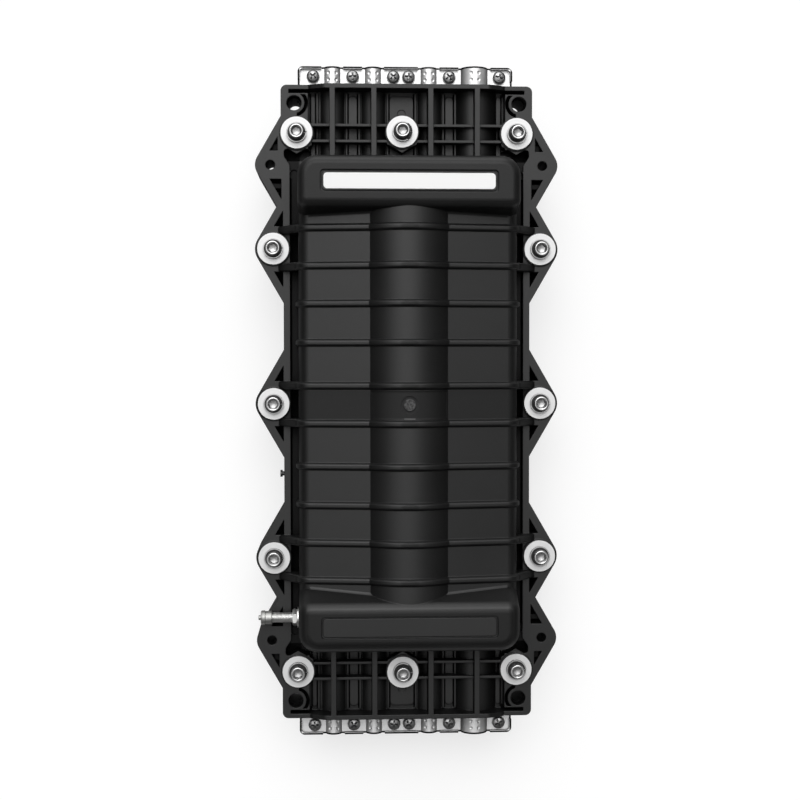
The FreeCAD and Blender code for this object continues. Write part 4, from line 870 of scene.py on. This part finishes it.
def draw_ring(bm: bmesh.types.BMesh, loop: Edges, ring: Ring, steps: int) -> Edges:
    """Draws a loop of edges on to a new ring.

    Args:
        bm: Mesh in work.
        loop: Edges of the last ring.
        ring: Where the new one lies.
        steps: Number of points round it.

    Returns:
        Edges of the new ring.
    """
    made = bmesh.ops.extrude_edge_only(bm, edges=loop)["geom"]
    ring.shape([g for g in made if isinstance(g, bmesh.types.BMVert)], steps)
    return [g for g in made if isinstance(g, bmesh.types.BMEdge)]


def added(bm: bmesh.types.BMesh, before: set[bmesh.types.BMVert]) -> Verts:
    """Vertices that a mesh has gained."""
    return [v for v in bm.verts if v not in before]


def loop_of(verts: Verts) -> Edges:
    """Edges that meet the vertices of a new circle."""
    return list({e for v in verts for e in v.link_edges})


def turned(
    bm: bmesh.types.BMesh, rings: Sequence[Ring], steps: int, closed: bool = True
) -> Verts:
    """Adds a turned shape about Z.

    Args:
        bm: Mesh that takes the shape.
        rings: Its levels in order along the skin.
        steps: Number of points round each.
        closed: Whether the first and last ring are filled; else they are welded where they meet.

    Returns:
        The new vertices.
    """
    before = set(bm.verts)
    first = bmesh.ops.create_circle(bm, cap_ends=False, segments=steps, radius=1.0)["verts"]
    rings[0].shape(first, steps)
    start = loop_of(first)
    loop = start
    for ring in rings[1:]:
        loop = draw_ring(bm, loop, ring, steps)
    if closed:
        bmesh.ops.contextual_create(bm, geom=start)
        bmesh.ops.contextual_create(bm, geom=loop)
    else:
        bmesh.ops.remove_doubles(bm, verts=added(bm, before), dist=WELD_DISTANCE)
    made = added(bm, before)
    bmesh.ops.recalc_face_normals(bm, faces=list({f for v in made for f in v.link_faces}))
    return made


def thread(crest: float, root: float, pitch: float, low: float, high: float) -> list[Ring]:
    """Rings of a thread between two heights, from low to high.

    Args:
        crest: Radius over the crests.
        root: Radius at the roots.
        pitch: Distance from crest to crest.
        low: Height of the first crest.
        high: Height of the last one.

    Returns:
        The rings.
    """
    rings = []
    for k in range(int((high - low) / pitch)):
        at = low + k * pitch
        rings += [Ring(crest, at), Ring(crest, at + pitch * THREAD_CREST)]
        rings.append(Ring(root, at + pitch * THREAD_ROOT_AT))
    return rings


def set_down(bm: bmesh.types.BMesh, verts: Verts, where: Vector, turn: float) -> None:
    """Turns a new screw about its axis and moves it to its seat."""
    bmesh.ops.rotate(bm, verts=verts, cent=Vector(), matrix=Matrix.Rotation(turn, 3, "Z"))
    bmesh.ops.translate(bm, verts=verts, vec=where)


PAN_OUTLINE = ((0.86, 0.78), (0.94, 0.66), (0.985, 0.52), (1.0, 0.36), (1.0, 0.06), (0.98, 0.0))


@dataclass(frozen=True)
class CrossScrew:
    """Pan-head screw with a cross recess, drawn about Z with its seat at zero.

    Recess, crown, root, pitch, point and neck are shares of the head or the shank.
    """

    diameter: float
    head_d: float
    head_h: float
    length: float
    arm: float = 0.62
    arm_half: float = 0.15
    arm_dip: float = 0.07
    recess_depth: float = 0.8
    recess_floor: float = 0.34
    crown_d: float = 0.72
    crown_h: float = 0.88
    thread_root: float = 0.84
    thread_pitch: float = 0.175
    thread_from: float = 0.8
    thread_to: float = 0.2
    point: Span = (0.6, 0.88)
    point_length: float = 0.6
    neck: float = 0.95
    steps: int = 32

    def add(self, bm: bmesh.types.BMesh, where: Vector, turn: float) -> None:
        """Adds one screw.

        Args:
            bm: Mesh that takes the screw.
            where: Centre of the seat.
            turn: Angle of the recess.
        """
        before = set(bm.verts)
        self._head(bm)
        self._shank(bm)
        set_down(bm, added(bm, before), where, turn)

    def _head(self, bm: bmesh.types.BMesh) -> None:
        """Domed head: a cross in its crown is pushed down, and the rim is drawn to the seat.

        Args:
            bm: Mesh that takes the head.
        """
        before = set(bm.faces)
        radius = self.head_d / 2
        floor = self._cross(bm)
        rim = list(floor.edges)
        ring = bmesh.ops.create_circle(
            bm, cap_ends=False, segments=self.steps, radius=radius * self.crown_d
        )["verts"]
        bmesh.ops.translate(bm, verts=ring, vec=Vector((0.0, 0.0, self.head_h * self.crown_h)))
        loop = loop_of(ring)
        sunk = bmesh.ops.extrude_discrete_faces(bm, faces=[floor])["faces"]
        self._sink(bm, sunk[0], rim)
        rim = [e for e in rim if e.is_valid]
        up = Vector((0.0, 0.0, 1.0))
        bmesh.ops.triangle_fill(bm, use_beauty=True, edges=rim + loop, normal=up)
        for reach, height in (*PAN_OUTLINE, (self.diameter / self.head_d, 0.0)):
            loop = draw_ring(bm, loop, Ring(radius * reach, self.head_h * height), self.steps)
        bmesh.ops.recalc_face_normals(bm, faces=[f for f in bm.faces if f not in before])

    def _cross(self, bm: bmesh.types.BMesh) -> bmesh.types.BMFace:
        """Face of the recess at the top of the head.

        Args:
            bm: Mesh that takes the face.

        Returns:
            The face.
        """
        arm = self.head_d / 2 * self.arm
        half = self.head_d / 2 * self.arm_half
        dip = self.arm_dip * self.head_h
        corners = [(arm, -half, dip), (arm, half, dip), (half, half, 0.0)]
        cross = bmesh.ops.create_circle(bm, cap_ends=True, segments=12, radius=1.0)["verts"]
        for quarter in range(4):
            for k, (u, v, drop) in enumerate(corners):
                spun = Matrix.Rotation(quarter * math.pi / 2, 2) @ Vector((u, v))
                cross[quarter * 3 + k].co = Vector((spun.x, spun.y, self.head_h - drop))
        return cross[0].link_faces[0]

    def _sink(self, bm: bmesh.types.BMesh, floor: bmesh.types.BMFace, rim: Edges) -> None:
        """Draws the recess down to a small floor and walls it.

        Args:
            bm: Mesh in work.
            floor: Face that is drawn down.
            rim: Edges round the recess at the top.
        """
        small = Vector((self.recess_floor, self.recess_floor, 1.0))
        low = Vector((0.0, 0.0, -self.head_h * self.recess_depth))
        bmesh.ops.scale(bm, vec=small, verts=floor.verts)
        bmesh.ops.translate(bm, verts=floor.verts, vec=low)
        bmesh.ops.bridge_loops(bm, edges=rim + list(floor.edges))

    def _shank(self, bm: bmesh.types.BMesh) -> None:
        """Threaded shank under the head, its crests as wide as the nominal size.

        Args:
            bm: Mesh that takes the shank.
        """
        crest = self.diameter / 2
        root = crest * self.thread_root
        pitch = self.diameter * self.thread_pitch
        end, shoulder = self.point
        tip = -self.length
        rings = [Ring(crest * end, tip), Ring(crest * shoulder, tip + self.point_length)]
        rings += thread(crest, root, pitch, tip + self.thread_from, -self.thread_to)
        turned(bm, [*rings, Ring(crest * self.neck, 0.0)], self.steps)


@dataclass(frozen=True)
class CapScrew:
    """Socket-head cap screw with a knurled head, drawn about Z with its seat at zero."""

    diameter: float = 6.0
    head_d: float = 10.0
    head_h: float = 6.0
    socket: float = 5.0
    length: float = 36.0
    thread_length: float = 24.0
    thread_root: float = 0.86
    thread_pitch: float = 1.0
    thread_from: float = 0.8
    point: float = 0.7
    point_length: float = 0.5
    steps: int = 72
    shank_steps: int = 24

    def add(self, bm: bmesh.types.BMesh, where: Vector, turn: float) -> None:
        """Adds one screw.

        Args:
            bm: Mesh that takes the screw.
            where: Centre of the seat.
            turn: Angle of the socket.
        """
        head = turned(bm, self._head(), self.steps)
        set_down(bm, head + turned(bm, self._shank(), self.shank_steps), where, turn)

    def _head(self) -> list[Ring]:
        """Rings of the head, from its seat over the rim to the bottom of the socket.

        Returns:
            The rings.
        """
        r = self.head_d / 2
        h = self.head_h
        flat = self.socket / 2
        return [
            Ring(r * 0.5, 0.05), Ring(r * 0.93, 0.0), Ring(r * 0.97, 0.2),
            Ring(r, 0.35, Edge.KNURL), Ring(r, h * 0.78, Edge.KNURL), Ring(r * 0.975, h * 0.82),
            Ring(r * 0.97, h * 0.87), Ring(r * 0.945, h * 0.93), Ring(r * 0.9, h * 0.975),
            Ring(r * 0.84, h), Ring(r * 0.76, h), Ring(r * 0.725, h * 0.985),
            Ring(flat, h * 0.8, Edge.HEXAGON), Ring(flat * 0.99, h * 0.46, Edge.HEXAGON),
            Ring(flat * 0.8, h * 0.44), Ring(flat * 0.2, h * 0.38),
        ]

    def _shank(self) -> list[Ring]:
        """Rings of the shank, from its tip to the head.

        Returns:
            The rings.
        """
        r = self.diameter / 2
        root = r * self.thread_root
        tip = -self.length
        end = tip + self.thread_length
        rings = [Ring(r * self.point, tip), Ring(root, tip + self.point_length)]
        rings += thread(r, root, self.thread_pitch, tip + self.thread_from, end)
        return rings + [Ring(r, end + 0.4), Ring(r, -0.2), Ring(r * 0.98, 0.1)]


@dataclass
class CableClamps:
    """Clamp strips outside the two ends, with their screws."""

    screw_x: tuple[float, ...] = (-62.8, -36.0, -8.4, 2.0, 29.6, 63.8)
    screw_y: float = 221.3
    seat_z: float = 58.0
    turn_first: float = 0.5
    turn_step: float = 0.7
    turn_by_end: float = 0.4
    screw: CrossScrew = CrossScrew(4.0, 8.8, 3.2, 9.0)

    def build(self) -> None:
        """Makes the cross-recessed screws of both ends."""
        steel = SCREW_STEEL.material()
        for end, side in (("rear", 1.0), ("front", -1.0)):
            bm = bmesh.new()
            for k, x in enumerate(self.screw_x):
                turn = self.turn_first + self.turn_step * k + self.turn_by_end * side
                self.screw.add(bm, Vector((x, side * self.screw_y, self.seat_z)), turn)
            name = f"cross_screws_{end}"
            finished_piece(bm, name, steel, "base", "screw_steel", f"clamp_screws_{end}")

    def dress(self) -> None:
        """Finishes the strips."""
        strips = ("upper_rear", "upper_front", "lower_rear", "lower_front")
        dress(CLAMP_STEEL.material(), *(f"clamp_{strip}" for strip in strips))


@dataclass
class Shells:
    """The two half shells with their seals, inserts, label and side screw."""

    def dress(self) -> None:
        """Finishes shells, seals, inserts, label and side screw."""
        dress(SHELL.material(), "cover_shell", "base_shell")
        seals = ("gasket_left", "gasket_right", "port_seal_strips", "valve_seal")
        dress(SealRubber().material(), *seals)
        dress(BRASS.material(), "threaded_inserts", "anchor_yokes", "valve_core")
        dress(BlankLabel().material(), "label")
        dress(DARK_STEEL.material(), "side_screw")


@dataclass
class CoverBolts:
    """Cap screws of the cover with flat and spring washers."""

    side_x: float = 89.4
    side_y: float = 103.4
    row: tuple[Span, ...] = ((-73.6, 180.4), (-3.2, 181.4), (73.6, 180.4))
    seat_z: float = 80.0
    turn_step: float = 0.37
    screw: CapScrew = CapScrew()

    def places(self) -> list[Span]:
        """Where the screws stand."""
        sides = [(sx * self.side_x, row * self.side_y) for sx in (-1, 1) for row in (-1, 0, 1)]
        return sides + [(x, sy * y) for sy in (-1, 1) for x, y in self.row]

    def build(self) -> None:
        """Makes the cap screws."""
        bm = bmesh.new()
        for k, (x, y) in enumerate(self.places()):
            self.screw.add(bm, Vector((x, y, self.seat_z)), self.turn_step * k)
        steel = BOLT_STEEL.material()
        finished_piece(bm, "cap_screws", steel, "cover", "bolt_steel", "cover_bolts")

    def dress(self) -> None:
        """Finishes the washers."""
        dress(WASHER_STEEL.material(), "bolt_washers")
        dress(SPRING_STEEL.material(), "spring_washers")


@dataclass
class Trays:
    """Splice trays on their frame, with the anchor bars beside them."""

    port_x: tuple[float, ...] = (-49.8, -22.2, 15.7, 46.8)
    bar_y: float = 145.0
    bar_z: float = 36.0
    yoke_z: float = 42.0
    bar_post_x: float = 35.0
    frame_z: float = 28.0
    frame_post: Span = (44.0, 104.0)
    yoke_turn: Span = (0.4, 0.9)
    bar_turn: Span = (0.2, 0.03)
    frame_turn: Span = (0.6, 0.3)
    screw: CrossScrew = CrossScrew(4.0, 7.0, 2.4, 9.0)
    frame_screw: CrossScrew = CrossScrew(4.0, 7.0, 2.4, 7.5)

    def anchor_screws(self) -> bmesh.types.BMesh:
        """Draws the screws of yokes and bars.

        Returns:
            Their mesh, in millimetres.
        """
        bm = bmesh.new()
        for side in (-1.0, 1.0):
            y = side * self.bar_y
            for k, x in enumerate(self.port_x):
                turn = self.yoke_turn[0] + self.yoke_turn[1] * k
                self.screw.add(bm, Vector((x, y, self.yoke_z)), turn)
            for x in (-self.bar_post_x, self.bar_post_x):
                turn = self.bar_turn[0] + self.bar_turn[1] * x
                self.screw.add(bm, Vector((x, y, self.bar_z)), turn)
        return bm

    def frame_screws(self) -> bmesh.types.BMesh:
        """Draws the screws of the frame.

        Returns:
            Their mesh, in millimetres.
        """
        bm = bmesh.new()
        x, y = self.frame_post
        for sx, sy in ((-1.0, -1.0), (-1.0, 1.0), (1.0, -1.0), (1.0, 1.0)):
            turn = self.frame_turn[0] * sx + self.frame_turn[1] * sy
            self.frame_screw.add(bm, Vector((sx * x, sy * y, self.frame_z)), turn)
        return bm

    def build(self) -> None:
        """Makes the cross-recessed screws of bars and frame."""
        steel = SCREW_STEEL.material()
        for place, bm in (("anchor", self.anchor_screws()), ("frame", self.frame_screws())):
            name = f"cross_screws_{place}"
            finished_piece(bm, name, steel, "base", "screw_steel", f"{place}_screws")

    def dress(self) -> None:
        """Finishes trays, lid, frame, bars, pins and the screws under the clamps."""
        dress(TRAY.material(), "splice_tray_lower", "splice_tray_upper")
        dress(ClearLid().material(), "tray_lid")
        dress(FRAME_STEEL.material(), "tray_frame", "anchor_bar_rear", "anchor_bar_front")
        dress(SCREW_STEEL.material(), "tray_hinge_pins", "clamp_seat_screws")


@dataclass
class TestValve:
    """Test valve in the cover's side, its turned parts drawn about Z and then laid along -X."""

    wall_x: float = -72.5
    axis_y: float = -142.4
    axis_z: float = 83.5
    stem_r: float = 3.5
    bore_r: float = 1.7
    stem_out: float = 23.4
    thread_from: float = 4.7
    thread_pitch: float = 0.9
    thread_root: float = 0.9
    flange_r: float = 4.9
    flange_in: float = 8.4
    flange_seat: float = 4.4
    cap_r: float = 4.4
    cap_head_r: float = 4.8
    cap_bore_r: float = 3.6
    cap_mouth: float = -5.2
    cap_neck: float = -1.1
    cap_top: float = 2.2
    tip_r: float = 1.6
    steps: int = 64

    def lay(self, bm: bmesh.types.BMesh) -> None:
        """Turns a shape drawn about Z on to the valve's axis.

        Args:
            bm: Mesh of the shape.
        """
        across = Matrix.Rotation(-math.pi / 2, 3, "Y")
        seat = Vector((self.wall_x, self.axis_y, self.axis_z))
        bmesh.ops.rotate(bm, verts=bm.verts, cent=Vector(), matrix=across)
        bmesh.ops.translate(bm, verts=bm.verts, vec=seat)

    def stem(self) -> list[Ring]:
        """Rings of the threaded stem, round its skin and back through its bore.

        Returns:
            The rings.
        """
        r = self.stem_r
        end = self.stem_out
        rings = [
            Ring(self.bore_r, -self.flange_in), Ring(self.flange_r - 0.4, -self.flange_in),
            Ring(self.flange_r, 0.4 - self.flange_in),
            Ring(self.flange_r, -self.flange_seat - 0.2),
            Ring(self.flange_r - 0.2, -self.flange_seat), Ring(r, -self.flange_seat),
            Ring(r, self.thread_from - 0.4),
        ]
        root = r * self.thread_root
        rings += thread(r, root, self.thread_pitch, self.thread_from, end - 0.6)
        rings += [Ring(r * 0.93, end - 0.3), Ring(r * 0.86, end), Ring(self.bore_r + 0.2, end)]
        return rings + [Ring(self.bore_r, end - 0.2), Ring(self.bore_r, -self.flange_in)]

    def cap(self) -> list[Ring]:
        """Rings of the dust cap, from the floor of its bore over the skirt to the tip.

        Returns:
            The rings.
        """
        r = self.cap_r
        head = self.cap_head_r
        mouth = self.stem_out + self.cap_mouth
        neck = self.stem_out + self.cap_neck
        top = self.stem_out + self.cap_top
        return [
            Ring(0.4, top - 1.0), Ring(self.cap_bore_r, top - 1.0),
            Ring(self.cap_bore_r, mouth + 0.3), Ring(self.cap_bore_r + 0.2, mouth),
            Ring(r - 0.25, mouth), Ring(r, mouth + 0.25), Ring(r, neck),
            Ring(r - 0.15, neck + 0.15), Ring(r - 0.15, neck + 0.35),
            Ring(head * 0.98, neck + 0.5), Ring(head, neck + 0.65, Edge.KNURL),
            Ring(head, top - 0.45, Edge.KNURL), Ring(head * 0.95, top - 0.2),
            Ring(head * 0.87, top), Ring(self.tip_r + 0.5, top), Ring(self.tip_r, top + 0.15),
            Ring(self.tip_r, top + 1.35), Ring(self.tip_r - 0.25, top + 1.6),
            Ring(0.5, top + 1.6), Ring(0.45, top + 0.6),
        ]

    def build(self) -> None:
        """Makes stem and cap, and finishes washer and nut in the stem's metal."""
        metal = VALVE_METAL.material()
        bm = bmesh.new()
        turned(bm, self.stem(), self.steps, closed=False)
        self.lay(bm)
        finished_piece(bm, "threaded_stem", metal, "cover", "valve_metal", "valve_stem")
        bm = bmesh.new()
        turned(bm, self.cap(), self.steps)
        self.lay(bm)
        dark = CAP_METAL.material()
        finished_piece(bm, "knurled_cap", dark, "valve_cap", "valve_metal", "valve_cap")
        dress(metal, "valve_washer", "valve_nut")


@dataclass
class Studio:
    """Floor, light and camera, in metres; the light's spans are parts of a unit direction."""

    camera_at: tuple[float, float, float] = (-0.04695, 0.03056, 0.98949)
    camera_turn: tuple[float, float, float] = (-0.0308, -0.0461, -0.0011)
    lens: float = 61.254
    sensor: float = 36.0
    floor_size: float = 12.0
    floor_paint: float = 0.9
    floor_glow: float = 1.15
    floor_glow_share: float = 0.58
    floor_sheen: float = 0.6
    room_level: float = 0.11
    band_x: float = -0.06
    band_half: Span = (0.17, 0.59)
    lean_y: Span = (-0.6, 0.2)
    lean_level: float = 1.62
    rear_from: Span = (0.15, 0.36)
    rear_to: Span = (0.45, 0.8)
    rear_fade: float = 0.9
    rear_level: float = 3.7
    backdrop_level: float = 1.0

    def floor(self) -> None:
        """White sweep that keeps a soft shadow."""
        bm = bmesh.new()
        bmesh.ops.create_grid(bm, x_segments=8, y_segments=8, size=self.floor_size)
        mesh = bpy.data.meshes.new("studio_floor")
        bm.to_mesh(mesh)
        bm.free()
        floor = bpy.data.objects.new("studio_floor", mesh)
        bpy.context.scene.collection.objects.link(floor)
        mesh.materials.append(self.floor_finish())

    def floor_finish(self) -> bpy.types.Material:
        """White that glows a little when it is looked at, and less when it is mirrored.

        Returns:
            The material.
        """
        t = ShaderTree(bpy.data.materials.new("floor_white"))
        rays = ("Camera", "Glossy", "Transmission")
        seen, mirrored, through = [
            t.node("ShaderNodeLightPath", output=f"Is {ray} Ray") for ray in rays
        ]
        paint = t.node("ShaderNodeBsdfDiffuse", {}, {"Color": grey(self.floor_paint)})
        glow, sheen = [
            t.node("ShaderNodeEmission", {}, {"Color": grey(1.0), "Strength": level})
            for level in (self.floor_glow, self.floor_sheen)
        ]
        white = t.blend(seen.most(through) * self.floor_glow_share, paint, glow)
        return t.close(t.blend(mirrored, white, sheen))

    def world(self) -> None:
        """Soft room light, brightest overhead towards the rear, before a white backdrop."""
        world = bpy.data.worlds.new("studio_room")
        bpy.context.scene.world = world
        t = ShaderTree(world)
        way = t.node("ShaderNodeTexCoord", output="Generated")
        depth = t.axis(way, "Y")
        band = 1.0 - abs(t.axis(way, "X") - self.band_x).rise(*self.band_half)
        lean = depth.rise(*self.lean_y)
        rear = depth.rise(*self.rear_from) * (1.0 - depth.rise(*self.rear_to) * self.rear_fade)
        level = self.room_level + band * (lean * self.lean_level + rear * self.rear_level)
        room, backdrop = [
            t.node("ShaderNodeBackground", {}, {"Color": grey(1.0), "Strength": strength})
            for strength in (level, self.backdrop_level)
        ]
        seen = t.node("ShaderNodeLightPath", output="Is Camera Ray")
        t.close(t.blend(seen, room, backdrop), "ShaderNodeOutputWorld")

    def camera(self) -> None:
        """Camera above the cover, as in the photograph."""
        lens = bpy.data.cameras.new("camera")
        lens.lens = self.lens
        lens.sensor_width = self.sensor
        camera = bpy.data.objects.new("camera", lens)
        camera.location = self.camera_at
        camera.rotation_euler = self.camera_turn
        bpy.context.scene.collection.objects.link(camera)
        bpy.context.scene.camera = camera

    def build(self) -> None:
        """Sets the stage."""
        self.floor()
        self.world()
        self.camera()
        bpy.context.scene.view_settings.view_transform = "Standard"


def main() -> None:
    """Builds and dresses each sub-assembly, then sets the stage."""
    logging.basicConfig(level=logging.INFO, format="%(message)s")
    Shells().dress()
    for assembly in (CoverBolts(), CableClamps(), Trays()):
        assembly.build()
        assembly.dress()
    TestValve().build()
    Studio().build()


if __name__ == "__main__":
    main()
